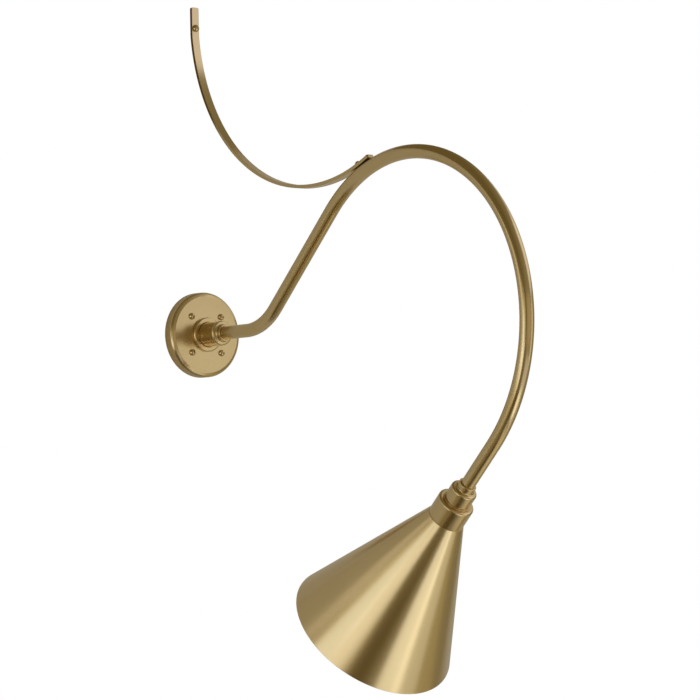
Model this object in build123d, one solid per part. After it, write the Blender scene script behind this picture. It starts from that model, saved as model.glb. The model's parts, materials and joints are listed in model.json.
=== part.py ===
from build123d import *
import os
from math import atan2, cos, degrees, radians, sin, sqrt

# Barn light on a gooseneck arm, in millimetres.
# The wall is the plane Y = 0 with the room on its -Y side, +Z points up, and the origin is the
# centre of the wall canopy on the wall.

# Fits
running_gap = 0.1
thread_gap = 0.05
assembly_gap = 0.3
bulb_gap = 0.3

# Arm tube
tube_diameter = 19.05
tube_wall = 1.65
stub_length = 113.0
rise_radius = 95.25
rise_angle = 44.0
rise_run = 177.8
crook_radius = 228.6
crook_angle = 180.0
neck_drop = 129.5

# Wall canopy and what lies behind it
canopy_diameter = 122.0
canopy_height = 17.6
canopy_sheet = 1.2
ledge_width = 4.6
ledge_drop = 4.3
ledge_round = 1.6
face_round = 2.6
gasket_width = 5.0
gasket_height = 3.0
plate_thickness = 2.0
plate_margin = 6.5
wire_hole_diameter = 28.0
large_box_spacing = 88.9
small_box_spacing = 69.85
box_hole_diameter = 4.8

# Canopy screws
screw_square = 51.8
canopy_head_diameter = 9.6
canopy_head_height = 4.6
canopy_shank_diameter = 4.2
head_edge = 0.7
drive_width = 2.5
drive_depth = 1.4

# Hub on the canopy
hub_wall = 8.0
hub_length = 38.5
hub_round = 3.0
hub_floor = 8.0
collar_wall = 2.4
hub_collar_length = 7.5
collar_fillet = 1.8
collar_round = 0.9
edge_share = 0.62
fillet_share = 0.36
ring_reach = 7.0
ring_height = 5.0
ring_round = 2.3
stem_wall = 2.2
stem_length = 5.9
nut_shoulder = 3.6
lock_nut_height = 3.5
lug_width = 3.6
lug_thickness = 0.8
lug_tab_length = 12.0
lug_tab_width = 6.0

# Brace strap and its screws
brace_width = 12.7
brace_thickness = 4.7625
brace_radius = 273.0
foot_bend_radius = 68.0
foot_bend_angle = 7.0
foot_length = 38.0
brace_overhang = 20.0
brace_corner = 2.5
seat_gap = 0.05
wall_screw_drop = 30.5
wall_head_diameter = 10.8
wall_head_height = 5.2
wall_neck_diameter = 5.4
wall_shank_diameter = 4.8
wall_screw_bite = 35.0
wall_screw_point = 6.0
tube_screw_setback = 8.0
tube_head_diameter = 9.2
tube_head_height = 5.0
tube_shank_diameter = 4.0
tube_screw_reach = 2.5

# Fitter between arm and shade
fitter_collar_length = 9.0
coupling_wall = 8.4
coupling_length = 21.0
coupling_round = 3.2
tube_insert = 8.0
washer_reach = 1.2
washer_thickness = 1.5
washer_round = 0.6
cup_length = 29.7
cup_wall = 1.6
cup_round = 3.0
cup_mouth_wall = 4.8
cup_mouth_length = 14.0
nipple_diameter = 13.2
nipple_wall = 1.8
nipple_nut_height = 4.0
nipple_nut_shoulder = 3.4

# Shade
shade_rim_diameter = 228.6
shade_length = 213.0
shade_sheet = 1.2
neck_overlap = 0.4
shade_ring_wall = 2.2
shade_ring_flange = 3.0
shade_ring_flange_thickness = 1.5
shade_ring_engagement = 11.0

# Lamp socket
cap_thickness = 1.5
porcelain_wall = 3.6
socket_round = 1.3
counterbore_depth = 5.0
counterbore_room = 1.6
porcelain_floor = 3.5
shell_sheet = 0.5
shell_length = 21.0
shell_flange_width = 5.0
socket_lip = 3.0
contact_diameter = 9.0
contact_height = 2.2
contact_rim = 0.8
contact_crown_diameter = 5.0
socket_screw_room = 0.5
socket_screw_head = 5.0
socket_screw_head_height = 1.6
socket_screw_shank = 2.6
socket_screw_bite = 5.0

# Lamp bulb
base_diameter = 26.3
base_sheet = 0.5
base_start = 5.2
base_length = 18.8
base_hole_diameter = 22.0
tip_diameter = 9.6
tip_flat_diameter = 7.0
tip_height = 1.6
insulator_plug = 1.8
glass_wall = 0.8
glass_insert = 6.0
neck_length = 2.0
globe_diameter = 60.0
globe_centre_height = 75.0
cement_gap = 0.25
stem_flare_thickness = 1.5
stem_flare_lift = 2.0
stem_flare_height = 7.0
stem_post_diameter = 8.0
stem_height = 28.0
post_diameter = 1.0
post_foot = 5.0
post_span = 20.0
post_height = 26.0
filament_diameter = 1.2
filament_rise = 5.0

# Leads and wire connectors
lead_diameter = 2.8
lead_spacing = 4.4
lead_bend_radius = 8.0
lead_level = 7.2
lead_insert = 2.5
lead_hole_room = 0.15
connector_start = 20.0
connector_length = 22.0
connector_wall = 3.2
connector_tip_wall = 1.9
connector_bore_depth = 12.0
ground_angle = 213.0
ground_radius = 40.5
ground_lead_diameter = 2.4
ground_head_diameter = 8.0
ground_head_height = 3.0
ground_shank_diameter = 4.0
ground_bend_radius = 2.5
ground_run = 7.0
ground_fall = 4.0

# Radii and heights that follow from the sizes above
tube_radius = tube_diameter / 2
tube_bore = tube_radius - tube_wall
tube_seat_radius = tube_radius + running_gap
collar_radius = tube_seat_radius + collar_wall
hub_radius = tube_seat_radius + hub_wall
stem_radius = tube_bore + stem_wall
stem_end = canopy_height - stem_length
hub_front = canopy_height + hub_length
tube_start = canopy_height + hub_floor
canopy_inside = canopy_height - canopy_sheet
lug_face = canopy_inside - lug_thickness

hub_shoulder = hub_radius - collar_radius
hub_edge = min(hub_round, edge_share * hub_shoulder)
hub_fillet = min(collar_fillet, fillet_share * hub_shoulder)

coupling_radius = tube_seat_radius + coupling_wall
coupling_shoulder = coupling_radius - collar_radius
coupling_edge = min(coupling_round, edge_share * coupling_shoulder)
coupling_fillet = min(collar_fillet, fillet_share * coupling_shoulder)
nipple_radius = nipple_diameter / 2
cup_top = neck_drop - cup_length
washer_top = cup_top - washer_thickness
coupling_top = washer_top - coupling_length
fitter_top = coupling_top - fitter_collar_length
tube_end = coupling_top + tube_insert

base_radius = base_diameter / 2
shell_bore = base_radius + assembly_gap
shell_radius = shell_bore + shell_sheet
porcelain_bore = shell_radius + running_gap
socket_radius = porcelain_bore + porcelain_wall
shade_ring_bore = socket_radius + assembly_gap
shade_ring_radius = shade_ring_bore + shade_ring_wall
cup_mouth = shade_ring_radius + thread_gap
cup_radius = cup_mouth + cup_mouth_wall
neck_radius = cup_radius + neck_overlap

socket_screw_radius = (
    nipple_radius + thread_gap + nipple_nut_shoulder + socket_screw_head / 2 + socket_screw_room
)
nut_top = cup_top + cup_wall
cap_top = nut_top + nipple_nut_height + running_gap
socket_top = cap_top + cap_thickness
counterbore_radius = nipple_radius + counterbore_room
counterbore_floor = socket_top + counterbore_depth
shell_floor = counterbore_floor + porcelain_floor
shell_end = shell_floor + shell_length
socket_end = shell_end + socket_lip
contact_top = shell_floor + contact_height
bulb_tip = contact_top + bulb_gap

plate_radius = large_box_spacing / 2 + plate_margin
lead_radius = lead_diameter / 2
lead_offset = lead_spacing / 2

# Planes that carry the pieces
side_plane = Plane(origin=(0, 0, 0), x_dir=(0, -1, 0), z_dir=(-1, 0, 0))
wall_plane = Plane(origin=(0, 0, 0), x_dir=(1, 0, 0), z_dir=(0, -1, 0))


def on_side(distance, height, across=0.0):
    """Point at a distance from the wall, a height and a sideways place."""
    return Vector(across, -distance, height)


def arm_edges(start, end):
    """Centre line of the arm in the side plane, from a wall distance to a drop past the crook."""
    stub = Line((start, 0), (stub_length, 0))
    rise = JernArc(stub @ 1, stub % 1, rise_radius, rise_angle)
    run = Line(rise @ 1, rise @ 1 + (rise % 1) * rise_run)
    crook = JernArc(run @ 1, run % 1, crook_radius, -crook_angle)
    drop = Line(crook @ 1, crook @ 1 + (crook % 1) * end)
    return [stub, rise, run, crook, drop]


arm_line = arm_edges(tube_start, tube_end)
crook_start = arm_line[3] @ 0
crook_end = arm_line[3] @ 1
crook_heading = arm_line[3] % 0
crook_centre = crook_start + Vector(crook_heading.Y, -crook_heading.X) * crook_radius
drop_heading = arm_line[3] % 1
shade_plane = Plane(
    origin=on_side(crook_end.X, crook_end.Y),
    x_dir=(1, 0, 0),
    z_dir=on_side(drop_heading.X, drop_heading.Y),
)


def turned(outline):
    """Solid of revolution from (radius, height) corners; a third value rounds its corner."""
    face = make_face(Polyline(*[corner[:2] for corner in outline], close=True))
    for corner in outline:
        if len(corner) == 3:
            vertex = face.vertices().sort_by_distance((corner[0], corner[1], 0))[0]
            face = fillet(vertex, corner[2])
    return revolve(Plane.XZ * face, Axis.Z)


def rod(radius, low, high):
    """Round rod on the local axis between two heights."""
    return Pos(0, 0, low) * Cylinder(radius, high - low, align=(Align.CENTER, Align.CENTER, Align.MIN))


def hex_nut(bore, shoulder, low, height):
    """Hexagon nut on the local axis with its flats one shoulder outside the bore."""
    blank = extrude(RegularPolygon(bore + shoulder, 6, major_radius=False), height)
    return Pos(0, 0, low) * blank - rod(bore, low, low + height)


def swept(path, section):
    """Sketch carried along a path, set square to the path's start."""
    return sweep(Plane(origin=path @ 0, x_dir=(1, 0, 0), z_dir=path % 0) * section, path=path)


def dome_screw(head_diameter, head_height, shank_diameter, shank_length):
    """Dome-headed screw with a hexagon drive; the head stands on the local plane Z = 0."""
    head_radius = head_diameter / 2
    shank_radius = shank_diameter / 2
    crown = head_height - head_edge
    crown_radius = (head_radius**2 + crown**2) / (2 * crown)
    sweep_angle = 2 * degrees(atan2(crown, head_radius))
    arc = CenterArc((0, head_height - crown_radius), crown_radius, 90, -sweep_angle)
    sides = Polyline(
        (0, head_height),
        (0, -shank_length),
        (shank_radius, -shank_length),
        (shank_radius, 0),
        (head_radius, 0),
        (head_radius, head_edge),
    )
    blank = revolve(Plane.XZ * make_face([*sides.edges(), arc]), Axis.Z)
    drive = extrude(RegularPolygon(drive_width / 2, 6, major_radius=False), drive_depth)
    return blank - Pos(0, 0, head_height - drive_depth) * drive


def save(name, shape):
    """Write one named piece."""
    export_step(shape, f"parts/{name}.step")


def lead_plane(side):
    """Side plane of one of the two leads."""
    return Plane(origin=(side * lead_offset, 0, 0), x_dir=(0, -1, 0), z_dir=(-1, 0, 0))


# Places of the four canopy screws and of the box screws on the wall plane
screw_spots = GridLocations(screw_square, screw_square, 2, 2)
box_spots = GridLocations(large_box_spacing, 0, 2, 1).locations
box_spots = box_spots + GridLocations(small_box_spacing, 0, 2, 1).locations
ground_spot = Pos(
    ground_radius * cos(radians(ground_angle)),
    ground_radius * sin(radians(ground_angle)),
    0,
)

# Brace geometry: a flat foot on the wall, a small bend, then one long arc that rests on the crook
foot_turn = radians(foot_bend_angle)
foot_middle = brace_thickness / 2
brace_seat_radius = crook_radius + tube_radius + seat_gap + brace_thickness / 2
brace_centre_distance = (
    foot_middle + foot_bend_radius + (brace_radius - foot_bend_radius) * cos(foot_turn)
)
centre_offset = crook_centre.X - brace_centre_distance
centre_climb = sqrt((brace_radius + brace_seat_radius) ** 2 - centre_offset**2)
brace_centre_height = crook_centre.Y + centre_climb
foot_height = brace_centre_height - (brace_radius - foot_bend_radius) * sin(foot_turn)
brace_top = foot_height + foot_length
contact_angle = degrees(atan2(-centre_climb, centre_offset))
brace_turn = contact_angle + 180 - foot_bend_angle + degrees(brace_overhang / brace_radius)
tube_screw_angle = radians(contact_angle - degrees(tube_screw_setback / brace_radius))
tube_screw_out = brace_radius - brace_thickness / 2 - seat_gap
tube_screw_distance = brace_centre_distance + tube_screw_out * cos(tube_screw_angle)
tube_screw_height = brace_centre_height + tube_screw_out * sin(tube_screw_angle)
tube_screw_plane = Plane(
    origin=on_side(tube_screw_distance, tube_screw_height),
    x_dir=(1, 0, 0),
    z_dir=on_side(-cos(tube_screw_angle), -sin(tube_screw_angle)),
)
tube_screw_length = brace_thickness + 2 * seat_gap + tube_wall + tube_screw_reach
wall_screw_plane = Plane(
    origin=on_side(brace_thickness, brace_top - wall_screw_drop),
    x_dir=(1, 0, 0),
    z_dir=(0, -1, 0),
)


# Wall side
def wall_canopy():
    """Spun cover with a raised face, closed over the wall box."""
    rim = canopy_diameter / 2
    face_edge = rim - ledge_width
    ledge = canopy_height - ledge_drop
    hole = stem_radius + assembly_gap
    shell = turned([
        (rim, 0),
        (rim, ledge, ledge_round),
        (face_edge, ledge, ledge_round),
        (face_edge, canopy_height, face_round),
        (hole, canopy_height),
        (hole, canopy_inside),
        (face_edge - canopy_sheet, canopy_inside, face_round - canopy_sheet),
        (face_edge - canopy_sheet, ledge - canopy_sheet, ledge_round),
        (rim - canopy_sheet, ledge - canopy_sheet, ledge_round / 2),
        (rim - canopy_sheet, 0),
    ])
    shank_hole = rod(canopy_shank_diameter / 2 + assembly_gap, 0, canopy_height)
    return wall_plane * (shell - [spot * shank_hole for spot in screw_spots])


def wall_gasket():
    """Soft ring inside the canopy's rim, against the wall."""
    outer = canopy_diameter / 2 - canopy_sheet - assembly_gap
    return wall_plane * (rod(outer, 0, gasket_height) - rod(outer - gasket_width, 0, gasket_height))


def mounting_plate():
    """Flat plate for the wall box, with tapped holes for the canopy screws."""
    plate = rod(plate_radius, 0, plate_thickness) - rod(wire_hole_diameter / 2, 0, plate_thickness)
    box_hole = rod(box_hole_diameter / 2, 0, plate_thickness)
    tapped_hole = rod(canopy_shank_diameter / 2 + thread_gap, 0, plate_thickness)
    ground_hole = rod(ground_shank_diameter / 2 + thread_gap, 0, plate_thickness)
    plate -= [spot * box_hole for spot in box_spots]
    plate -= [spot * tapped_hole for spot in screw_spots]
    plate -= ground_spot * ground_hole
    return wall_plane * plate


def canopy_screws():
    """Four dome-headed screws through the canopy into the plate."""
    screw = dome_screw(
        canopy_head_diameter, canopy_head_height, canopy_shank_diameter, canopy_height
    )
    return Compound([wall_plane * spot * Pos(0, 0, canopy_height) * screw for spot in screw_spots])


def ground_screw():
    """Hexagon-headed earth screw in the plate."""
    head = extrude(RegularPolygon(ground_head_diameter / 2, 6, major_radius=False), ground_head_height)
    screw = Pos(0, 0, plate_thickness) * head
    screw += rod(ground_shank_diameter / 2, 0, plate_thickness)
    return wall_plane * ground_spot * screw


def hub_ring():
    """Beaded ring round the foot of the hub."""
    inner = hub_radius + running_gap
    outer = hub_radius + ring_reach
    top = canopy_height + ring_height
    return wall_plane * turned([
        (inner, canopy_height),
        (outer, canopy_height),
        (outer, top, ring_round),
        (inner, top, ring_round / 2),
    ])


def hub():
    """Turned hub with a collar for the tube and a hollow stem through the canopy."""
    collar_front = hub_front + hub_collar_length
    return wall_plane * turned([
        (tube_bore, stem_end),
        (stem_radius, stem_end),
        (stem_radius, canopy_height),
        (hub_radius, canopy_height),
        (hub_radius, hub_front, hub_edge),
        (collar_radius, hub_front, hub_fillet),
        (collar_radius, collar_front, collar_round),
        (tube_seat_radius, collar_front),
        (tube_seat_radius, tube_start),
        (tube_bore, tube_start),
    ])


def ground_lug():
    """Ring terminal under the lock nut, with a tab for the earth lead."""
    bore = stem_radius + running_gap
    ring = rod(bore + lug_width, lug_face, canopy_inside)
    tab_reach = bore + lug_width + lug_tab_length
    tab = Box(
        tab_reach, lug_tab_width, lug_thickness, align=(Align.MIN, Align.CENTER, Align.MIN)
    )
    ring += Rot(0, 0, ground_angle) * Pos(0, 0, lug_face) * tab
    return wall_plane * (ring - rod(bore, lug_face, canopy_inside))


def lock_nut():
    """Nut that draws the hub to the canopy."""
    low = lug_face - lock_nut_height
    return wall_plane * hex_nut(stem_radius + thread_gap, nut_shoulder, low, lock_nut_height)


# Arm and brace
def gooseneck_tube():
    """Bent round tube from the hub to the fitter, drilled for the brace screw."""
    path = side_plane * Wire(arm_line)
    tube = swept(path, Circle(tube_radius)) - swept(path, Circle(tube_bore))
    hole = rod(tube_shank_diameter / 2 + thread_gap, -tube_radius - brace_thickness, 0)
    return tube - tube_screw_plane * hole


def brace_strap():
    """Flat strap from the wall to the top of the crook."""
    foot = Line((foot_middle, brace_top), (foot_middle, foot_height))
    bend = JernArc(foot @ 1, foot % 1, foot_bend_radius, foot_bend_angle)
    long_arc = JernArc(bend @ 1, bend % 1, brace_radius, brace_turn)
    path = side_plane * Wire([foot, bend, long_arc])
    strap = swept(path, Rectangle(brace_width, brace_thickness))
    for end in (path @ 0, path @ 1):
        end_face = strap.faces().sort_by_distance(end)[0]
        strap = fillet(end_face.edges().sort_by(SortBy.LENGTH)[:2], brace_corner)
    wall_hole = rod(wall_neck_diameter / 2 + assembly_gap, -brace_thickness, 0)
    tube_hole = rod(tube_shank_diameter / 2 + assembly_gap, -2 * brace_thickness, brace_thickness)
    return strap - wall_screw_plane * wall_hole - tube_screw_plane * tube_hole


def brace_wall_screw():
    """Pointed dome-headed screw that holds the strap's foot to the wall."""
    shank = wall_shank_diameter / 2
    head = dome_screw(wall_head_diameter, wall_head_height, wall_neck_diameter, brace_thickness)
    thread = turned([
        (0, -wall_screw_bite),
        (shank, wall_screw_point - wall_screw_bite),
        (shank, 0),
        (0, 0),
    ])
    return wall_screw_plane * (head + Pos(0, 0, -brace_thickness) * thread)


def brace_tube_screw():
    """Short dome-headed screw that holds the strap to the tube."""
    screw = dome_screw(tube_head_diameter, tube_head_height, tube_shank_diameter, tube_screw_length)
    return tube_screw_plane * screw


# Fitter and shade, on the straight end of the arm
def arm_coupling():
    """Turned coupling with a collar for the tube and a threaded bore for the nipple."""
    nipple_bore = nipple_radius + thread_gap
    return shade_plane * turned([
        (tube_seat_radius, fitter_top),
        (collar_radius, fitter_top, collar_round),
        (collar_radius, coupling_top, coupling_fillet),
        (coupling_radius, coupling_top, coupling_edge),
        (coupling_radius, washer_top),
        (nipple_bore, washer_top),
        (nipple_bore, tube_end),
        (tube_seat_radius, tube_end),
    ])


def fitter_washer():
    """Thin ring between the coupling and the socket cup."""
    inner = nipple_radius + assembly_gap
    outer = coupling_radius + washer_reach
    return shade_plane * turned([
        (inner, washer_top),
        (outer, washer_top, washer_round),
        (outer, cup_top, washer_round),
        (inner, cup_top),
    ])


def socket_cup():
    """Cup that covers the lamp socket, with a threaded mouth for the shade ring."""
    hole = nipple_radius + assembly_gap
    inside = cup_radius - cup_wall
    mouth_start = neck_drop - cup_mouth_length
    return shade_plane * turned([
        (hole, cup_top),
        (cup_radius, cup_top, cup_round),
        (cup_radius, neck_drop),
        (cup_mouth, neck_drop),
        (cup_mouth, mouth_start),
        (inside, mouth_start),
        (inside, cup_top + cup_wall, cup_round - cup_wall),
        (hole, cup_top + cup_wall),
    ])


def fitter_nipple():
    """Hollow threaded nipple that carries cup and socket."""
    low = tube_end + running_gap
    high = socket_top + counterbore_depth / 2
    return shade_plane * (
        rod(nipple_radius, low, high) - rod(nipple_radius - nipple_wall, low, high)
    )


def nipple_nut():
    """Nut that clamps the cup to the coupling."""
    bore = nipple_radius + thread_gap
    return shade_plane * hex_nut(bore, nipple_nut_shoulder, nut_top, nipple_nut_height)


def shade():
    """Spun cone with a flat neck flange and an open mouth."""
    rim = shade_rim_diameter / 2
    rim_height = neck_drop + shade_length
    slope = (rim - neck_radius) / shade_length
    wall = shade_sheet * sqrt(1 + slope**2)
    flange_hole = shade_ring_radius + assembly_gap
    floor = neck_drop + shade_sheet
    return shade_plane * turned([
        (flange_hole, neck_drop),
        (neck_radius, neck_drop),
        (rim, rim_height),
        (rim - wall, rim_height),
        (neck_radius + slope * shade_sheet - wall, floor),
        (flange_hole, floor),
    ])


def shade_ring():
    """Flanged ring screwed into the cup's mouth, which clamps the shade's neck."""
    flange_low = neck_drop + shade_sheet
    flange_high = flange_low + shade_ring_flange_thickness
    return shade_plane * turned([
        (shade_ring_bore, neck_drop - shade_ring_engagement),
        (shade_ring_radius, neck_drop - shade_ring_engagement),
        (shade_ring_radius, flange_low),
        (shade_ring_radius + shade_ring_flange, flange_low),
        (shade_ring_radius + shade_ring_flange, flange_high, shade_ring_flange_thickness / 2),
        (shade_ring_bore, flange_high),
    ])


# Lamp socket
def socket_cap():
    """Steel cap on the socket, threaded for the nipple."""
    cap = rod(socket_radius, cap_top, socket_top)
    cap -= rod(nipple_radius + thread_gap, cap_top, socket_top)
    hole = rod(socket_screw_shank / 2 + running_gap, cap_top, socket_top)
    cap -= [spot * hole for spot in PolarLocations(socket_screw_radius, 2, 90)]
    return shade_plane * cap


def socket_body():
    """Porcelain body with a recess for the wiring and a bore for the screw shell."""
    body = turned([
        (counterbore_radius, socket_top),
        (socket_radius, socket_top, socket_round),
        (socket_radius, socket_end, socket_round),
        (porcelain_bore, socket_end),
        (porcelain_bore, shell_floor),
        (0, shell_floor),
        (0, counterbore_floor),
        (counterbore_radius, counterbore_floor),
    ])
    lead_hole = rod(lead_radius + lead_hole_room, counterbore_floor, counterbore_floor + lead_insert)
    body -= [Pos(side * lead_offset, 0, 0) * lead_hole for side in (-1, 1)]
    screw_hole = rod(socket_screw_shank / 2 + running_gap, socket_top, socket_top + socket_screw_bite)
    body -= [spot * screw_hole for spot in PolarLocations(socket_screw_radius, 2, 90)]
    return shade_plane * body


def socket_screws():
    """Two pan-headed screws that hold the cap to the porcelain."""
    head = rod(socket_screw_head / 2, cap_top - socket_screw_head_height, cap_top)
    screw = head + rod(socket_screw_shank / 2, cap_top, socket_top + socket_screw_bite)
    spots = PolarLocations(socket_screw_radius, 2, 90)
    return Compound([shade_plane * spot * screw for spot in spots])


def screw_shell():
    """Thin metal shell that the bulb's base turns in."""
    return shade_plane * turned([
        (shell_radius - shell_flange_width, shell_floor),
        (shell_radius, shell_floor),
        (shell_radius, shell_end),
        (shell_bore, shell_end),
        (shell_bore, shell_floor + shell_sheet),
        (shell_radius - shell_flange_width, shell_floor + shell_sheet),
    ])


def centre_contact():
    """Raised contact in the floor of the socket."""
    rim = contact_diameter / 2
    return shade_plane * turned([
        (0, shell_floor),
        (rim, shell_floor),
        (rim, shell_floor + contact_rim),
        (contact_crown_diameter / 2, contact_top),
        (0, contact_top),
    ])


# Bulb, with heights measured from the tip of its base
bulb_plane = shade_plane.offset(bulb_tip)
base_end = base_start + base_length
glass_neck = base_radius - base_sheet - cement_gap
glass_start = base_end - glass_insert
neck_end = base_end + neck_length
flare_low = glass_start + stem_flare_lift
stem_top = flare_low + stem_height


def globe_edges(shrink):
    """Half outline of the glass from neck to crown, drawn in by a wall thickness."""
    globe = globe_diameter / 2
    climb = globe_centre_height - neck_end
    flare = (glass_neck**2 + climb**2 - globe**2) / (2 * (globe - glass_neck))
    tilt = degrees(atan2(climb, glass_neck + flare))
    neck = Line((glass_neck - shrink, glass_start), (glass_neck - shrink, neck_end))
    throat = CenterArc((glass_neck + flare, neck_end), flare + shrink, 180, -tilt)
    crown = CenterArc((0, globe_centre_height), globe - shrink, -tilt, 90 + tilt)
    return [neck, throat, crown]


def bulb_globe():
    """Pear-shaped glass, open at the neck."""
    outer = globe_edges(0)
    inner = globe_edges(glass_wall)
    foot = Line(inner[0] @ 0, outer[0] @ 0)
    crown = Line(inner[2] @ 1, outer[2] @ 1)
    return bulb_plane * revolve(Plane.XZ * make_face([*outer, *inner, foot, crown]), Axis.Z)


def bulb_base():
    """Screw base of the bulb, plain where its thread runs."""
    hole = base_hole_diameter / 2
    return bulb_plane * turned([
        (hole, base_start),
        (base_radius, base_start, base_sheet),
        (base_radius, base_end),
        (base_radius - base_sheet, base_end),
        (base_radius - base_sheet, base_start + base_sheet),
        (hole, base_start + base_sheet),
    ])


def base_insulator():
    """Dark insulator between the base and its tip."""
    outer = base_hole_diameter / 2 - running_gap
    return bulb_plane * turned([
        (0, tip_height),
        (tip_diameter / 2, tip_height),
        (outer, base_start),
        (outer, base_start + insulator_plug),
        (0, base_start + insulator_plug),
    ])


def base_tip():
    """Solder tip of the bulb."""
    return bulb_plane * turned([
        (0, 0),
        (tip_flat_diameter / 2, 0),
        (tip_diameter / 2, tip_height / 2),
        (tip_diameter / 2, tip_height),
        (0, tip_height),
    ])


def bulb_stem():
    """Flared glass stem inside the bulb's neck."""
    flare = glass_neck - glass_wall - cement_gap
    post = stem_post_diameter / 2
    return bulb_plane * turned([
        (0, flare_low),
        (flare, flare_low),
        (flare, flare_low + stem_flare_thickness),
        (post, flare_low + stem_flare_height, post),
        (post, stem_top),
        (0, stem_top),
    ])


def filament_posts():
    """Two wires that stand on the stem and spread to the filament's ends."""
    posts = []
    for side in (-1, 1):
        foot = Vector(side * post_foot / 2, 0, stem_top + thread_gap + post_diameter / 2)
        head = Vector(side * post_span / 2, 0, stem_top + post_height)
        path = Line(foot, head)
        posts.append(bulb_plane * sweep(Plane(path @ 0, z_dir=path % 0) * Circle(post_diameter / 2), path))
    return Compound(posts)


def filament():
    """Bowed filament between the heads of its posts."""
    end = post_span / 2 - post_diameter - filament_diameter / 2
    level = stem_top + post_height
    path = ThreePointArc((-end, 0, level), (0, 0, level + filament_rise), (end, 0, level))
    section = Plane(origin=path @ 0, z_dir=path % 0) * Circle(filament_diameter / 2)
    return bulb_plane * sweep(section, path)


# Wiring
def lead(side):
    """One insulated lead from its connector behind the canopy, through the arm, to the socket."""
    away = connector_start + connector_bore_depth
    tail = Line((lead_level, side * away), (lead_level, side * lead_bend_radius))
    bend = JernArc(tail @ 1, tail % 1, lead_bend_radius, side * 90)
    arm = arm_edges((bend @ 1).X, counterbore_floor + lead_insert)
    path = lead_plane(side) * Wire([tail, bend, *arm])
    return swept(path, Circle(lead_radius))


def wire_connectors():
    """Two twist-on caps, one on the end of each lead."""
    bore = lead_radius + running_gap
    bore_end = connector_start + connector_bore_depth + running_gap
    cap = turned([
        (0, bore_end),
        (bore, bore_end),
        (bore, connector_start),
        (bore + connector_wall, connector_start),
        (bore + connector_tip_wall, connector_start + connector_length, connector_tip_wall),
        (0, connector_start + connector_length),
    ])
    caps = []
    for side in (-1, 1):
        place = on_side(lead_level, 0, side * lead_offset)
        caps.append(Plane(origin=place, x_dir=(1, 0, 0), z_dir=(0, 0, side)) * cap)
    return Compound(caps)


def ground_lead():
    """Earth lead from the lug's tab down to the earth screw."""
    radius = ground_lead_diameter / 2
    start = stem_radius + running_gap + lug_width + lug_tab_length / 2
    high = lug_face - radius - thread_gap
    low = plate_thickness + radius + thread_gap
    stop = ground_radius - ground_head_diameter / 2 - 2 * running_gap
    route = FilletPolyline(
        (start, 0, high),
        (start + ground_run, 0, high),
        (start + ground_run + ground_fall, 0, low),
        (stop, 0, low),
        radius=ground_bend_radius,
    )
    wire = sweep(Plane(origin=route @ 0, z_dir=route % 0) * Circle(radius), path=route)
    return wall_plane * Rot(0, 0, ground_angle) * wire


save("wall_canopy", wall_canopy())
save("wall_gasket", wall_gasket())
save("mounting_plate", mounting_plate())
save("canopy_screws", canopy_screws())
save("ground_screw", ground_screw())
save("hub_ring", hub_ring())
save("hub", hub())
save("ground_lug", ground_lug())
save("lock_nut", lock_nut())
save("gooseneck_tube", gooseneck_tube())
save("brace_strap", brace_strap())
save("brace_wall_screw", brace_wall_screw())
save("brace_tube_screw", brace_tube_screw())
save("arm_coupling", arm_coupling())
save("fitter_washer", fitter_washer())
save("socket_cup", socket_cup())
save("fitter_nipple", fitter_nipple())
save("nipple_nut", nipple_nut())
save("shade", shade())
save("shade_ring", shade_ring())
save("socket_cap", socket_cap())
save("socket_body", socket_body())
save("socket_screws", socket_screws())
save("screw_shell", screw_shell())
save("centre_contact", centre_contact())
save("bulb_globe", bulb_globe())
save("bulb_base", bulb_base())
save("base_insulator", base_insulator())
save("base_tip", base_tip())
save("bulb_stem", bulb_stem())
save("filament_posts", filament_posts())
save("filament", filament())
save("line_lead", lead(1))
save("neutral_lead", lead(-1))
save("wire_connectors", wire_connectors())
save("ground_lead", ground_lead())
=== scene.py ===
"""Looks of a barn light on a gooseneck arm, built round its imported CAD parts."""

import json
import math
from types import SimpleNamespace

import bmesh
import bpy
from bpy.props import FloatProperty, FloatVectorProperty, IntProperty, PointerProperty
from mathutils import Matrix, Vector

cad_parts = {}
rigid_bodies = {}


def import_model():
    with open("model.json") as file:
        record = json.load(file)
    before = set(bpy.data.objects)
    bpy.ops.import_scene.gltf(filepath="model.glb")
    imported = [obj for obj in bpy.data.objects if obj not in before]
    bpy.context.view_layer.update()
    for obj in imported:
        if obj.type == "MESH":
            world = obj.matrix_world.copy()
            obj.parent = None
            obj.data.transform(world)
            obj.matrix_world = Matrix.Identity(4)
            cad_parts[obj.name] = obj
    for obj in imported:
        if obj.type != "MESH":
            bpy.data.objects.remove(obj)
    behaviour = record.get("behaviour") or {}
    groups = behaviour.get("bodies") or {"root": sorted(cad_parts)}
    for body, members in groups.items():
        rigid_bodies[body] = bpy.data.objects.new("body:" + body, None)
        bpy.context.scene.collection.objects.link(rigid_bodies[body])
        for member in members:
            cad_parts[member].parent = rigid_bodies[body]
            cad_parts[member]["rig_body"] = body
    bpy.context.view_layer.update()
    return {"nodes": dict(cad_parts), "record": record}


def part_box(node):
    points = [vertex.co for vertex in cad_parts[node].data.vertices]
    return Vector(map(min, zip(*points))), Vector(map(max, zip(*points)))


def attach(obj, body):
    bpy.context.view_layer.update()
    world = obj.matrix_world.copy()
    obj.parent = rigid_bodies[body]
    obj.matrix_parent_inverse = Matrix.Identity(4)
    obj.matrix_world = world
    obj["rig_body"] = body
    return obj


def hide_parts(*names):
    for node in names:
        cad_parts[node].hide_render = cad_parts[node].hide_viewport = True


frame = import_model()

bl_info = {
    "name": "Barn light",
    "version": (1, 0, 0),
    "blender": (4, 5, 0),
    "location": "View3D > Sidebar > Barn light",
    "description": "Builds the looks of a barn light piece by piece",
    "category": "Object",
}

FULL_TURN = 2 * math.pi

# Width of the camera's sensor in millimetres
SENSOR = 36.0

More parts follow.
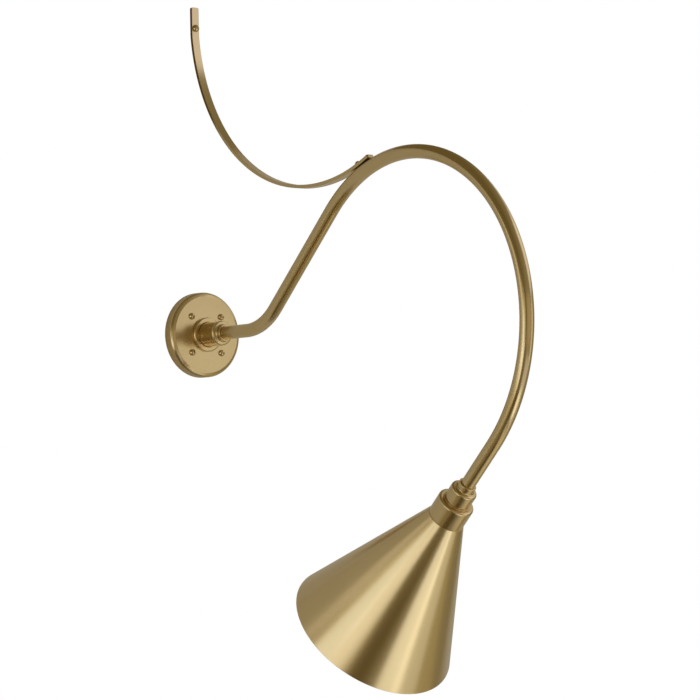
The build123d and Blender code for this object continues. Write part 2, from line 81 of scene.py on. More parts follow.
# Photograph in pixels: its side, the camera's focal length and the canopy's centre
PHOTO_SIDE = 700
PHOTO_FOCAL = 2958.669
PHOTO_CANOPY = (199.401, 335.476)

# Small sizes that many pieces share, in metres
EDGE_BREAK = 0.0003
LIP_ROUND = 0.0004
FREE_FIT = 0.0003
TIGHT_FIT = 0.0001
THREAD_FIT = 0.00005

# Radius in metres below which a ring of points is one point
POLE = 1e-7

# Sides of round pieces, rows of threads and steps of a coil's turn
LARGE_SIDES = 192
MIDDLE_SIDES = 144
SIDES = 96
THREAD_SIDES = 72
TUBE_SIDES = 64
SMALL_SIDES = 48
POST_SIDES = 16
WIRE_SIDES = 6
ROOM_SIDES = 64
THREAD_ROWS = 60
WALL_THREAD_ROWS = 120
COIL_STEPS = 10

# Angles in degrees from which an edge is sharp
SHARP = 32.0
THREAD_SHARP = 60.0
CAP_SHARP = 50.0

# Shares that shape hexagons, drives and shanks, and the power that narrows a wood thread's crests
HEX_RIM = 1.02
HEX_SLOPE = 0.5
DRIVE_RIM = 1.12
SHANK_POINT = 0.82
SHANK_CHAMFER = 0.3
NARROW_CREST = 3.0

# Heights of the finishes' relief in metres, and what their blotches do to roughness and paint
GRAIN_HEIGHT = 0.0002
BLOTCH_HEIGHT = 0.0003
WAVE_HEIGHT = 0.0004
BLOTCH_ROUGHER = 1.35
PAINT_BLOTCH = 0.97

# Corners of a rectangle
CORNERS = ((1, 1), (-1, 1), (-1, -1), (1, -1))

# Radii of a twist-on cap's nose, each with its distance from the end
CAP_NOSE = ((0.0029, 0.0012), (0.0018, 0.0002), (0.0, 0.0))

# Colour sockets of a Mix node
MIX_FIRST, MIX_SECOND, MIX_RESULT = 6, 7, 2


# Settings
def length(name, text, default):
    """Length property in metres."""
    return FloatProperty(
        name=name, description=text, default=default, min=0.0, precision=5, unit="LENGTH", subtype="DISTANCE"
    )


def angle(name, text, degrees):
    """Angle property, given in degrees."""
    return FloatProperty(
        name=name, description=text, default=math.radians(degrees), unit="ROTATION", subtype="ANGLE"
    )


def share(name, text, default):
    """Property between none and all."""
    return FloatProperty(name=name, description=text, default=default, min=0.0, max=1.0, subtype="FACTOR")


def number(name, text, default):
    """Plain number property."""
    return FloatProperty(name=name, description=text, default=default)


def colour(name, text, default):
    """Colour property."""
    return FloatVectorProperty(
        name=name, description=text, default=default, size=3, min=0.0, max=1.0, subtype="COLOR"
    )


class BarnLightArm(bpy.types.PropertyGroup):
    """Sizes of the gooseneck tube"""

    tube_diameter: length("Tube diameter", "Outside diameter of the arm", 0.01905)
    tube_wall: length("Tube wall", "Wall thickness of the arm", 0.00165)
    tube_start: length("Tube start", "Wall distance of the tube's first end", 0.0256)
    stub_length: length("Stub length", "Wall distance where the first bend starts", 0.113)
    rise_radius: length("Rise radius", "Radius of the first bend", 0.09525)
    rise_angle: angle("Rise angle", "Turn of the first bend", 44.0)
    rise_run: length("Rise run", "Straight run between the bends", 0.1778)
    crook_radius: length("Crook radius", "Radius of the crook", 0.2286)
    crook_angle: angle("Crook angle", "Turn of the crook", 180.0)
    tube_end: length("Tube end", "Straight length past the crook", 0.0853)


class BarnLightWall(bpy.types.PropertyGroup):
    """Sizes of the canopy, the hub and its ring"""

    canopy_diameter: length("Canopy diameter", "Outside diameter of the canopy", 0.122)
    canopy_height: length("Canopy height", "Distance of the canopy's face from the wall", 0.0176)
    canopy_sheet: length("Canopy sheet", "Sheet thickness of the canopy", 0.0012)
    bevel_width: length("Bevel width", "Width of the bevel round the face", 0.006)
    bevel_drop: length("Bevel drop", "Drop of the bevel from the face to the rim", 0.0042)
    bevel_round: length("Bevel round", "Round of the bevel's fold", 0.003)
    face_round: length("Face round", "Round of the face's edge", 0.0008)
    bevel_fold: share("Bevel fold", "Place of the bevel's fold on its way from the rim to the face", 0.4)
    rim_round: length("Rim round", "Round of the rim's outer edge", 0.0012)
    screw_square: length("Screw square", "Side of the square of canopy screws", 0.0518)
    hub_radius: length("Hub radius", "Outside radius of the hub", 0.017625)
    hub_length: length("Hub length", "Length of the hub's body", 0.0385)
    hub_round: length("Hub round", "Round of the hub's shoulder", 0.003)
    collar_radius: length("Collar radius", "Outside radius of both tube collars", 0.012025)
    collar_length: length("Collar length", "Length of the hub's collar", 0.0075)
    collar_fillet: length("Collar fillet", "Fillet at the collars' foot", 0.0018)
    collar_round: length("Collar round", "Round of the collars' lip", 0.0009)
    seat_radius: length("Seat radius", "Bore that the tube sits in", 0.009625)
    ring_radius: length("Ring radius", "Outside radius of the beaded ring", 0.024625)
    ring_height: length("Ring height", "Height of the beaded ring", 0.005)
    ring_round: length("Ring round", "Round of the beaded ring", 0.0023)
    ring_foot: length("Ring foot", "Round of the beaded ring's foot", 0.0006)
    stem_radius: length("Stem radius", "Outside radius of the hub's stem", 0.010075)
    stem_end: length("Stem end", "Wall distance of the stem's end", 0.0117)


class BarnLightScrews(bpy.types.PropertyGroup):
    """Sizes of the dome-headed screws"""

    canopy_head: length("Canopy head", "Head diameter of the canopy screws", 0.0096)
    canopy_head_height: length("Canopy head height", "Head height of the canopy screws", 0.0046)
    head_edge: length("Head edge", "Straight edge below the dome", 0.0007)
    drive_width: length("Drive width", "Width of the hexagon drive", 0.0025)
    drive_depth: length("Drive depth", "Depth of the hexagon drive", 0.0014)
    canopy_shank: length("Canopy shank", "Shank diameter of the canopy screws", 0.0042)
    wall_head: length("Wall head", "Head diameter of the wall screw", 0.0108)
    wall_head_height: length("Wall head height", "Head height of the wall screw", 0.0052)
    wall_neck: length("Wall neck", "Plain neck of the wall screw", 0.0054)
    wall_shank: length("Wall shank", "Shank diameter of the wall screw", 0.0048)
    wall_bite: length("Wall bite", "Reach of the wall screw into the wall", 0.035)
    wall_point: length("Wall point", "Length of the wall screw's point", 0.006)
    wall_pitch: length("Wall pitch", "Thread pitch of the wall screw", 0.0023)
    thread_root: share("Thread root", "Root of the wall screw's thread as a share of its shank", 0.72)
    thread_stop: length("Thread stop", "Distance of the thread's end behind the strap", 0.004)
    thread_runout: length("Thread runout", "Length over which the thread fades", 0.0005)
    tube_head: length("Tube head", "Head diameter of the tube screw", 0.0092)
    tube_head_height: length("Tube head height", "Head height of the tube screw", 0.005)
    tube_shank: length("Tube shank", "Shank diameter of the tube screw", 0.004)
    tube_shank_length: length("Tube shank length", "Shank length of the tube screw", 0.0090125)
    tube_setback: length("Tube setback", "Distance of the tube screw before the strap's contact", 0.008)


class BarnLightBrace(bpy.types.PropertyGroup):
    """Sizes of the strap"""

    width: length("Width", "Width of the strap", 0.0127)
    thickness: length("Thickness", "Thickness of the strap", 0.0047625)
    radius: length("Radius", "Centre-line radius of the long arc", 0.273)
    bend_radius: length("Bend radius", "Radius of the small bend above the arc", 0.068)
    bend_angle: angle("Bend angle", "Turn of the small bend", 7.0)
    foot_length: length("Foot length", "Straight foot on the wall", 0.038)
    overhang: length("Overhang", "Length past the contact with the crook", 0.020)
    corner: length("Corner", "Round of the ends' corners", 0.0025)
    edge: length("Edge", "Broken edge along the strap", 0.0006)
    seat_gap: length("Seat gap", "Gap between strap and tube", 0.00005)
    screw_drop: length("Screw drop", "Distance of the wall screw below the top", 0.0305)


class BarnLightFitter(bpy.types.PropertyGroup):
    """Sizes of the coupling, the washer and the cup"""

    top: length("Top", "Start of the coupling past the crook", 0.0683)
    coupling_top: length("Coupling top", "Shoulder of the coupling", 0.0773)
    coupling_radius: length("Coupling radius", "Outside radius of the coupling", 0.018025)
    coupling_round: length("Coupling round", "Round of the coupling's shoulder", 0.0032)
    washer_top: length("Washer top", "Start of the washer", 0.0983)
    washer_radius: length("Washer radius", "Outside radius of the washer", 0.019225)
    washer_round: length("Washer round", "Round of the washer", 0.0006)
    cup_top: length("Cup top", "Start of the socket cup", 0.0998)
    cup_radius: length("Cup radius", "Outside radius of the socket cup", 0.025)
    cup_round: length("Cup round", "Round of the cup's shoulder", 0.003)
    cup_wall: length("Cup wall", "Wall of the socket cup", 0.0016)
    cup_mouth: length("Cup mouth", "Bore of the cup's mouth", 0.0202)
    mouth_length: length("Mouth length", "Length of the cup's mouth", 0.014)
    nipple_radius: length("Nipple radius", "Outside radius of the nipple", 0.0066)


class BarnLightShade(bpy.types.PropertyGroup):
    """Sizes of the cone and its clamping ring"""

    neck_drop: length("Neck drop", "Start of the shade past the crook", 0.1295)
    neck_radius: length("Neck radius", "Outside radius of the neck", 0.0254)
    rim_radius: length("Rim radius", "Outside radius of the rim", 0.1143)
    shade_length: length("Shade length", "Length along the axis", 0.213)
    sheet: length("Sheet", "Sheet thickness", 0.0012)
    ring_bore: length("Ring bore", "Bore of the shade ring", 0.01795)
    ring_radius: length("Ring radius", "Outside radius of the shade ring", 0.02015)
    ring_flange: length("Ring flange", "Width of the ring's flange", 0.003)
    ring_flange_thickness: length("Ring flange thickness", "Thickness of the ring's flange", 0.0015)
    ring_engagement: length("Ring engagement", "Length of the ring in the cup", 0.011)


class BarnLightSocket(bpy.types.PropertyGroup):
    """Sizes of the lamp socket"""

    top: length("Top", "Start of the porcelain past the crook", 0.107)
    radius: length("Radius", "Outside radius of the porcelain", 0.01765)
    bore: length("Bore", "Bore for the screw shell", 0.01405)
    recess_radius: length("Recess radius", "Radius of the wiring recess", 0.0082)
    recess_floor: length("Recess floor", "Floor of the wiring recess", 0.112)
    shell_floor: length("Shell floor", "Floor of the screw shell", 0.1155)
    shell_end: length("Shell end", "Mouth of the screw shell", 0.1365)
    end: length("End", "Lip of the porcelain", 0.1395)
    shell_bore: length("Shell bore", "Least bore of the screw shell", 0.01345)
    shell_radius: length("Shell radius", "Outside radius of the screw shell", 0.01395)
    contact_radius: length("Contact radius", "Radius of the centre contact", 0.0045)
    contact_height: length("Contact height", "Height of the centre contact", 0.0022)
    contact_rim: length("Contact rim", "Height of the centre contact's rim", 0.0008)
    contact_crown: length("Contact crown", "Radius of the centre contact's crown", 0.0025)
    contact_round: length("Contact round", "Round of the centre contact's crown", 0.0006)
    end_round: length("End round", "Round of the porcelain's outer edges", 0.0013)
    mouth_round: length("Mouth round", "Round of the porcelain's mouth", 0.0009)
    shell_flange: length("Shell flange", "Width of the flange on the shell's floor", 0.005)
    shell_lip: length("Shell lip", "Plain lip of the shell", 0.0012)
    shell_heel: length("Shell heel", "Distance of the thread's end from the shell's floor", 0.003)
    lip_share: share("Lip share", "Thickness of the shell's lip as a share of its sheet", 0.4)
    thread_root: share("Thread root", "Thickness at the thread's root as a share of the sheet", 0.25)


class BarnLightBulb(bpy.types.PropertyGroup):
    """Sizes of the bulb, from its tip"""

    tip: length("Tip", "Tip of the bulb past the crook", 0.118)
    base_radius: length("Base radius", "Crest radius of the base's thread", 0.01315)
    base_start: length("Base start", "Start of the base", 0.0052)
    base_length: length("Base length", "Length of the base", 0.0188)
    base_sheet: length("Base sheet", "Sheet thickness of the base", 0.0005)
    base_hole: length("Base hole", "Radius of the hole in the base's end", 0.011)
    base_chamfer: length("Base chamfer", "Height of the chamfer at the base's end", 0.0004)
    base_collar: length("Base collar", "Length of the base past its thread", 0.004)
    collar_foot: length("Collar foot", "Start of the collar's slope past the thread", 0.0006)
    collar_top: length("Collar top", "End of the collar's slope past the thread", 0.0014)
    tip_radius: length("Tip radius", "Radius of the tip contact", 0.0048)
    tip_flat: length("Tip flat", "Radius of the tip contact's flat", 0.0035)
    tip_height: length("Tip height", "Height of the tip contact", 0.0016)
    tip_round: length("Tip round", "Round of the tip contact and the insulator", 0.0006)
    insulator_radius: length("Insulator radius", "Outside radius of the insulator", 0.0109)
    insulator_plug: length("Insulator plug", "Length of the insulator inside the base", 0.0018)
    thread_start: length("Thread start", "Distance of the thread from the base's end", 0.001)
    thread_pitch: length("Thread pitch", "Pitch of the base's thread", 0.0036)
    thread_depth: length("Thread depth", "Depth of the base's thread", 0.0007)
    glass_neck: length("Glass neck", "Outside radius of the glass neck", 0.0124)
    glass_wall: length("Glass wall", "Wall of the glass", 0.0008)
    glass_insert: length("Glass insert", "Length of glass inside the base", 0.006)
    neck_rise: length("Neck rise", "Straight neck of the glass past the base", 0.002)
    globe_radius: length("Globe radius", "Radius of the globe", 0.03)
    globe_height: length("Globe height", "Globe centre from the tip", 0.075)
    stem_height: length("Stem height", "Height of the glass stem", 0.028)
    stem_radius: length("Stem radius", "Radius of the glass stem", 0.004)
    stem_round: length("Stem round", "Round of the stem's top", 0.0012)
    stem_lift: length("Stem lift", "Distance of the stem's flare from the neck's end", 0.002)
    stem_gap: length("Stem gap", "Gap between the flare and the neck", 0.00025)
    flare_thickness: length("Flare thickness", "Thickness of the stem's flare", 0.0015)
    flare_height: length("Flare height", "Height of the stem's flare", 0.007)
    flare_round: length("Flare round", "Round of the flare's edges", 0.0005)
    post_radius: length("Post radius", "Radius of the filament's posts", 0.0005)
    post_foot: length("Post foot", "Distance of the posts' feet from the axis", 0.0025)
    post_span: length("Post span", "Spread of the filament's posts", 0.020)
    post_height: length("Post height", "Height of the posts over the stem", 0.026)
    filament_rise: length("Filament rise", "Bow of the filament", 0.005)
    filament_radius: length("Filament radius", "Room for the filament beside each post", 0.0006)
    coil_radius: length("Coil radius", "Radius of the filament's coil", 0.00042)
    wire_radius: length("Wire radius", "Radius of the filament's wire", 0.00013)
    coil_turns: IntProperty(name="Coil turns", description="Turns of the filament's coil", default=34, min=4)


class BarnLightNuts(bpy.types.PropertyGroup):
    """Sizes of the nuts and the earth screw"""

    lug_thickness: length("Lug thickness", "Thickness of the earth lug under the lock nut", 0.0008)
    lock_height: length("Lock height", "Height of the lock nut", 0.0035)
    lock_shoulder: length("Lock shoulder", "Width of the lock nut round its bore", 0.0036)
    nipple_height: length("Nipple height", "Height of the nipple's nut", 0.004)
    nipple_shoulder: length("Nipple shoulder", "Width of the nipple's nut round its bore", 0.0034)
    earth_across: length("Earth across", "Width of the earth screw over its flats", 0.008)
    earth_shank: length("Earth shank", "Radius of the earth screw's shank", 0.002)
    earth_reach: length("Earth reach", "Length of the earth screw's shank", 0.002)
    earth_head: length("Earth head", "Height of the earth screw's head", 0.003)


class BarnLightCaps(bpy.types.PropertyGroup):
    """Sizes of the twist-on caps"""

    offset: length("Offset", "Distance of each cap's axis from the middle", 0.0022)
    cap_length: length("Cap length", "Length of a cap", 0.022)
    bore: length("Bore", "Radius of a cap's bore", 0.0015)
    bore_depth: length("Bore depth", "Depth of a cap's bore", 0.0121)
    lip_radius: length("Lip radius", "Radius of a cap's lip", 0.0047)
    lip_chamfer: length("Lip chamfer", "Chamfer of a cap's lip", 0.0002)
    lip_length: length("Lip length", "Length of a cap's lip", 0.0022)
    ribs: IntProperty(name="Ribs", description="Ribs round a cap", default=12, min=3)
    rib_start: length("Rib start", "Distance of the ribs from a cap's mouth", 0.003)
    rib_radius: length("Rib radius", "Radius of the ribs at their start", 0.0046)
    rib_depth: length("Rib depth", "Depth between the ribs", 0.0003)
    rib_taper: share("Rib taper", "Loss of radius along the ribs", 0.075)
    nose_length: length("Nose length", "Length of a cap past its ribs", 0.0025)


class BarnLightFinish(bpy.types.PropertyGroup):
    """Colours of brass and dust, and the brass's roughness"""

    brass: colour("Brass", "Reflected colour of the brass", (0.72, 0.55, 0.285))
    brass_dark: colour("Brass shade", "Colour of handled brass", (0.62, 0.455, 0.215))
    brass_worn: colour("Worn brass", "Colour of worn edges", (0.86, 0.74, 0.50))
    brass_dust: colour("Dust on brass", "Colour of dust on brass", (0.62, 0.58, 0.50))
    dust: colour("Dust", "Colour of dust on other pieces", (0.55, 0.52, 0.47))
    spun_rough: share("Spun roughness", "Roughness of the spun shade and canopy", 0.23)
    turned_rough: share("Turned roughness", "Roughness of the turned pieces", 0.19)
    drawn_rough: share("Drawn roughness", "Roughness of the tube and the strap", 0.19)
    grain: share("Grain", "Change of roughness across the brushing", 0.06)


class BarnLightStage(bpy.types.PropertyGroup):
    """Camera, floor, wall, flags and room"""

    azimuth: angle("Azimuth", "Camera's turn round the light", -39.262)
    elevation: angle("Elevation", "Camera's angle above the horizon", -3.192)
    roll: angle("Roll", "Camera's roll", -1.237)
    focal: number("Focal length", "Focal length in units of the picture's width", PHOTO_FOCAL / PHOTO_SIDE)
    distance: length("Distance", "Camera's distance to the canopy's plane", 4.25775)
    canopy_x: number("Canopy x", "Canopy's place right of the middle", PHOTO_CANOPY[0] / PHOTO_SIDE - 0.5)
    canopy_y: number("Canopy y", "Canopy's place above the middle", 0.5 - PHOTO_CANOPY[1] / PHOTO_SIDE)
    floor_drop: length("Floor drop", "Floor's distance below the canopy", 2.6)
    floor_depth: length("Floor depth", "Floor's reach into the room", 2.4)
    floor_paint: colour("Floor paint", "Colour of the floor", (0.55, 0.55, 0.54))
    wall_reach: length("Wall reach", "Reach of floor and wall to either side", 2.6)
    wall_paint: colour("Wall paint", "Colour of the wall", (0.90, 0.90, 0.88))
    wall_back: length("Wall back", "Distance of the wall behind the light's back", 0.0004)
    card_back: length("Card back", "Distance of the card behind the light's back", 0.0008)
    felt: colour("Felt", "Colour of the flags", (0.25, 0.18, 0.045))
    felt_dark: colour("Dark felt", "Colour of the flags' blotches", (0.22, 0.155, 0.04))
    wall_top: length("Wall top", "Height of the wall above the canopy", 0.56)
    wall_gap: length("Wall gap", "Half side of the opening in the wall behind the canopy", 0.042)
    room_radius: length("Room radius", "Radius of the dim room round the light", 6.0)
    room_dim: colour("Dim room", "Colour of the room's dim side", (0.159, 0.128, 0.060))
    room_bright: colour("Bright room", "Colour of the room's bright side", (0.300, 0.277, 0.194))


SETTINGS = {
    "barn_arm": BarnLightArm,
    "barn_wall": BarnLightWall,
    "barn_screws": BarnLightScrews,
    "barn_brace": BarnLightBrace,
    "barn_fitter": BarnLightFitter,
    "barn_shade": BarnLightShade,
    "barn_socket": BarnLightSocket,
    "barn_bulb": BarnLightBulb,
    "barn_nuts": BarnLightNuts,
    "barn_caps": BarnLightCaps,
    "barn_finish": BarnLightFinish,
    "barn_stage": BarnLightStage,
}


# Curves in the side plane, as wall distance and height
def arc_stations(centre, radius, start, turn, step):
    """Stations along an arc whose heading runs from start through turn."""
    count = max(2, math.ceil(abs(turn) / step))
    side = math.copysign(1.0, turn)
    stations = []
    for i in range(count + 1):
        heading = start + turn * i / count
        out = Vector((math.sin(heading), -math.cos(heading))) * side * radius
        stations.append((centre + out, heading))
    return stations


def arm_stations(scene, step=math.radians(1.5)):
    """Stations of the arm's centre line, the crook's centre and the crook's end."""
    arm = scene.barn_arm
    first = Vector((arm.stub_length, arm.rise_radius))
    rise = arc_stations(first, arm.rise_radius, 0.0, arm.rise_angle, step)
    ahead = Vector((math.cos(arm.rise_angle), math.sin(arm.rise_angle)))
    right = Vector((ahead.y, -ahead.x))
    centre = rise[-1][0] + ahead * arm.rise_run + right * arm.crook_radius
    crook = arc_stations(centre, arm.crook_radius, arm.rise_angle, -arm.crook_angle, step)
    end, heading = crook[-1]
    down = Vector((math.cos(heading), math.sin(heading)))
    stations = [(Vector((arm.tube_start, 0.0)), 0.0), *rise, *crook, (end + down * arm.tube_end, heading)]
    return stations, centre, (end, heading)


def brace_stations(scene, step=math.radians(1.2)):
    """Stations of the strap's centre line from its top to its end, and its seat on the crook."""
    brace, arm = scene.barn_brace, scene.barn_arm
    middle = brace.thickness / 2
    crook = arm_stations(scene)[1]
    seat = arm.crook_radius + arm.tube_diameter / 2 + brace.seat_gap + middle
    across = middle + brace.bend_radius + (brace.radius - brace.bend_radius) * math.cos(brace.bend_angle)
    climb = math.sqrt((brace.radius + seat) ** 2 - (crook.x - across) ** 2)
    centre = Vector((across, crook.y + climb))
    foot = centre.y - (brace.radius - brace.bend_radius) * math.sin(brace.bend_angle)
    top = foot + brace.foot_length
    down = -math.pi / 2
    bend_centre = Vector((middle + brace.bend_radius, foot))
    bend = arc_stations(bend_centre, brace.bend_radius, down, brace.bend_angle, step)
    contact = math.atan2(-climb, crook.x - across)
    turn = contact + math.pi - brace.bend_angle + brace.overhang / brace.radius
    long_arc = arc_stations(centre, brace.radius, down + brace.bend_angle, turn, step)
    stations = [(Vector((middle, top)), down), *bend, *long_arc[1:]]
    return stations, SimpleNamespace(centre=centre, contact=contact, top=top)


def side_point(flat):
    """Point in space of a wall distance and a height."""
    return Vector((0.0, -flat.x, flat.y))


def placed(origin, x_axis, z_axis):
    """Matrix with its origin, X and Z given."""
    x, z = Vector(x_axis).normalized(), Vector(z_axis).normalized()
    matrix = Matrix((x, z.cross(x), z)).transposed().to_4x4()
    matrix.translation = origin
    return matrix


def wall_place(distance=0.0, x=0.0, z=0.0):
    """Place on the wall's axis, looking into the room."""
    return placed((x, -distance, z), (1, 0, 0), (0, -1, 0))


def shade_place(scene, drop=0.0):
    """Place on the shade's axis, a drop past the crook, looking out of the shade."""
    end, heading = arm_stations(scene)[2]
    down = Vector((math.cos(heading), math.sin(heading)))
    return placed(side_point(end + down * drop), (1, 0, 0), side_point(down))


# Meshes
def rounded(corners, step=math.radians(9)):
    """Outline whose corners are rounded by their third value."""
    points = []
    for i, corner in enumerate(corners):
        here = Vector(corner[:2])
        if len(corner) < 3:
            points.append(here)
            continue
        before = (Vector(corners[i - 1][:2]) - here).normalized()
        after = (Vector(corners[(i + 1) % len(corners)][:2]) - here).normalized()
        half = before.angle(after) / 2
        centre = here + (before + after).normalized() * (corner[2] / math.sin(half))
        first = here + before * (corner[2] / math.tan(half)) - centre
        last = here + after * (corner[2] / math.tan(half)) - centre
        turn = math.atan2(first.cross(last), first.dot(last))
        count = max(2, math.ceil(abs(turn) / step))
        for k in range(count + 1):
            points.append(centre + Matrix.Rotation(turn * k / count, 2) @ first)
    return points


def steps(start, stop, count):
    """Evenly spaced numbers with both ends."""
    return [start + (stop - start) * i / count for i in range(count + 1)]


def circle(radius, count):
    """Round outline."""
    turns = [FULL_TURN * k / count for k in range(count)]
    return [(radius * math.cos(t), radius * math.sin(t)) for t in turns]


def hexagon(across):
    """Radius of a hexagon of a width over its flats, as a function of the turn."""
    return lambda theta: across / 2 / math.cos((theta % (math.pi / 3)) - math.pi / 6)


def hex_rows(across, low, high):
    """Four rows of a hexagon prism whose corners are turned down."""
    outline = hexagon(across)
    rim = across / 2 * HEX_RIM

    def flat(height):
        return lambda theta: (min(outline(theta), rim), height)

    def corner(height, sign):
        return lambda theta: (outline(theta), height + sign * HEX_SLOPE * max(0.0, outline(theta) - rim))

    return [flat(low), corner(low, 1), corner(high, -1), flat(high)]


def thread_row(height, pitch, root, crest, sharpness=1.0):
    """Row of a screw thread at a height."""

    def row(theta):
        phase = (height / pitch - theta / FULL_TURN) % 1.0
        wave = (0.5 + 0.5 * math.cos(FULL_TURN * phase)) ** sharpness
        return root + (crest - root) * wave, height

    return row


def side_frames(stations, widths):
    """Frames for stations in the side plane, with the share of the width at each."""
    frames = []
    for (flat, heading), width in zip(stations, widths):
        lift = Vector((0, math.sin(heading), math.cos(heading)))
        frames.append((side_point(flat), Vector((1, 0, 0)), lift, width))
    return frames


def add_object(name, vertices, faces, uvs, sharp):
    """Smooth closed mesh with its normals outside and its sharp edges marked."""
    mesh = bpy.data.meshes.new(name)
    mesh.from_pydata(vertices, [], faces)
    layer = mesh.uv_layers.new(name="Grain")
    layer.data.foreach_set("uv", [value for uv in uvs for value in uv])
    work = bmesh.new()
    work.from_mesh(mesh)
    bmesh.ops.recalc_face_normals(work, faces=work.faces)
    work.to_mesh(mesh)
    work.free()
    mesh.shade_smooth()
    mesh.set_sharp_from_angle(angle=math.radians(sharp))
    piece = bpy.data.objects.new(name, mesh)
    bpy.context.scene.collection.objects.link(piece)
    weighted = piece.modifiers.new("Weighted normals", "WEIGHTED_NORMAL")
    weighted.keep_sharp = True
    return piece


def turned(name, rows, place, sides=SIDES, closed=True, sharp=SHARP):
    """Body turned about a place's Z axis; a row is a radius and a height, or a function of the turn."""
    vertices, rings = [], []
    for row in rows:
        ring = []
        for k in range(sides):
            theta = FULL_TURN * k / sides
            radius, height = row(theta) if callable(row) else row
            if radius < POLE and ring:
                ring.append(ring[0])
                continue
            ring.append(len(vertices))
            vertices.append(place @ Vector((radius * math.cos(theta), radius * math.sin(theta), height)))
        rings.append(ring)
    faces, uvs, low = [], [], 0.0
    pairs = list(zip(rings, rings[1:] + rings[:1]))
    for lower, upper in pairs if closed else pairs[:-1]:
        high = low + (vertices[upper[0]] - vertices[lower[0]]).length
        for k in range(sides):
            m = (k + 1) % sides
            u, v = k / sides, (k + 1) / sides
            quad = [(lower[k], u, low), (lower[m], v, low), (upper[m], v, high), (upper[k], u, high)]
            kept = [corner for i, corner in enumerate(quad) if corner[0] != quad[i - 1][0]]
            if len(kept) > 2:
                faces.append([corner[0] for corner in kept])
                uvs.extend(corner[1:] for corner in kept)
        low = high
    return add_object(name, vertices, faces, uvs, sharp)


def swept(name, frames, section, inner=None):
    """Body carried along frames of (origin, side, lift, width share); inner makes it hollow."""
    vertices, faces, uvs, shells = [], [], [], []
    for outline in [section] + ([inner] if inner else []):
        rings, low, count = [], 0.0, len(outline)
        for origin, side, lift, width in frames:
            rings.append(range(len(vertices), len(vertices) + count))
            vertices.extend(origin + side * (a * width) + lift * b for a, b in outline)
        for lower, upper in zip(rings, rings[1:]):
            high = low + (vertices[upper[0]] - vertices[lower[0]]).length
            for k in range(count):
                m = (k + 1) % count
                u, v = k / count, (k + 1) / count
                faces.append([lower[k], lower[m], upper[m], upper[k]])
                uvs.extend([(u, low), (v, low), (v, high), (u, high)])
            low = high
        shells.append(rings)
    for end in (0, -1):
        outer = shells[0][end]
        caps = [list(outer)]
        if inner:
            hole, count = shells[1][end], len(outer)
            rim = [(k, (k + 1) % count) for k in range(count)]
            caps = [[outer[k], outer[m], hole[m], hole[k]] for k, m in rim]
        faces.extend(caps)
        uvs.extend((0.0, 0.0) for cap in caps for _ in cap)
    return add_object(name, vertices, faces, uvs, SHARP)


def joined(name, pieces):
    """Like pieces as one object."""
    with bpy.context.temp_override(active_object=pieces[0], selected_editable_objects=pieces):
        bpy.ops.object.join()
    pieces[0].name = name
    return pieces[0]


# Shader nodes
def put(tree, socket, value):
    """Link another node's socket to an input, or write a plain value on it."""
    if isinstance(value, bpy.types.NodeSocket):
        tree.links.new(value, socket)
    else:
        socket.default_value = value


def feed(tree, node, **values):
    """Put values on a node's inputs, whose blanks are written as underscores."""
    for key, value in values.items():
        put(tree, node.inputs[key.replace("_", " ")], value)


def add_node(tree, kind, settings=None, **values):
    """Node with its settings and its inputs."""
    node = tree.nodes.new(kind)
    for key, value in (settings or {}).items():
        setattr(node, key, value)
    feed(tree, node, **values)
    return node


def product(tree, first, second, kind="ShaderNodeMath"):
    """Product of two values, or of two vectors."""
    node = add_node(tree, kind, {"operation": "MULTIPLY"})
    put(tree, node.inputs[0], first)
    put(tree, node.inputs[1], second)
    return node.outputs[0]


def map_range(tree, value, **ends):
    """Value spread between its ends and held there; an end that isn't given is none or all."""
    return add_node(tree, "ShaderNodeMapRange", {"clamp": True}, Value=value, **ends).outputs["Result"]


def blend_colour(tree, mask, first, second):
    """Colour that goes by a mask from the first, a colour or a socket, to the second."""
    mix = add_node(tree, "ShaderNodeMix", {"data_type": "RGBA"}, Factor=mask)
    put(tree, mix.inputs[MIX_FIRST], first if isinstance(first, bpy.types.NodeSocket) else (*first, 1.0))
    put(tree, mix.inputs[MIX_SECOND], (*second, 1.0))
    return mix.outputs[MIX_RESULT]


# Shader groups
def new_group(name, label, kind, default, result):
    """Shader group that takes a vector and one more input and puts out one value."""
    group = bpy.data.node_groups.new(name, "ShaderNodeTree")
    group.interface.new_socket("Vector", in_out="INPUT", socket_type="NodeSocketVector")
    group.interface.new_socket(label, in_out="INPUT", socket_type=kind).default_value = default
    group.interface.new_socket(result, in_out="OUTPUT", socket_type="NodeSocketFloat")
    given, made = group.nodes.new("NodeGroupInput"), group.nodes.new("NodeGroupOutput")
    return group, given.outputs["Vector"], given.outputs[label], made.inputs[result]


def grain_group(name):
    """Brushed grain from stretched noise: a value from none to all."""
    usual = (40.0, 900.0, 1.0)
    group, vector, stretch, grain = new_group(name, "Stretch", "NodeSocketVector", usual, "Grain")
    scaled = product(group, vector, stretch, "ShaderNodeVectorMath")
    noise = add_node(group, "ShaderNodeTexNoise", Vector=scaled, Scale=1.0, Detail=3.0, Roughness=0.6)
    put(group, grain, noise.outputs["Fac"])
    return group


def smudge_group(name):
    """Soft blotches of handling: a mask."""
    group, vector, scale, mask = new_group(name, "Scale", "NodeSocketFloat", 18.0, "Mask")
    noise = add_node(
        group, "ShaderNodeTexNoise", Vector=vector, Scale=scale, Detail=5.0, Roughness=0.62, Distortion=0.4
    )
    put(group, mask, map_range(group, noise.outputs["Fac"], From_Min=0.35, From_Max=0.72))
    return group


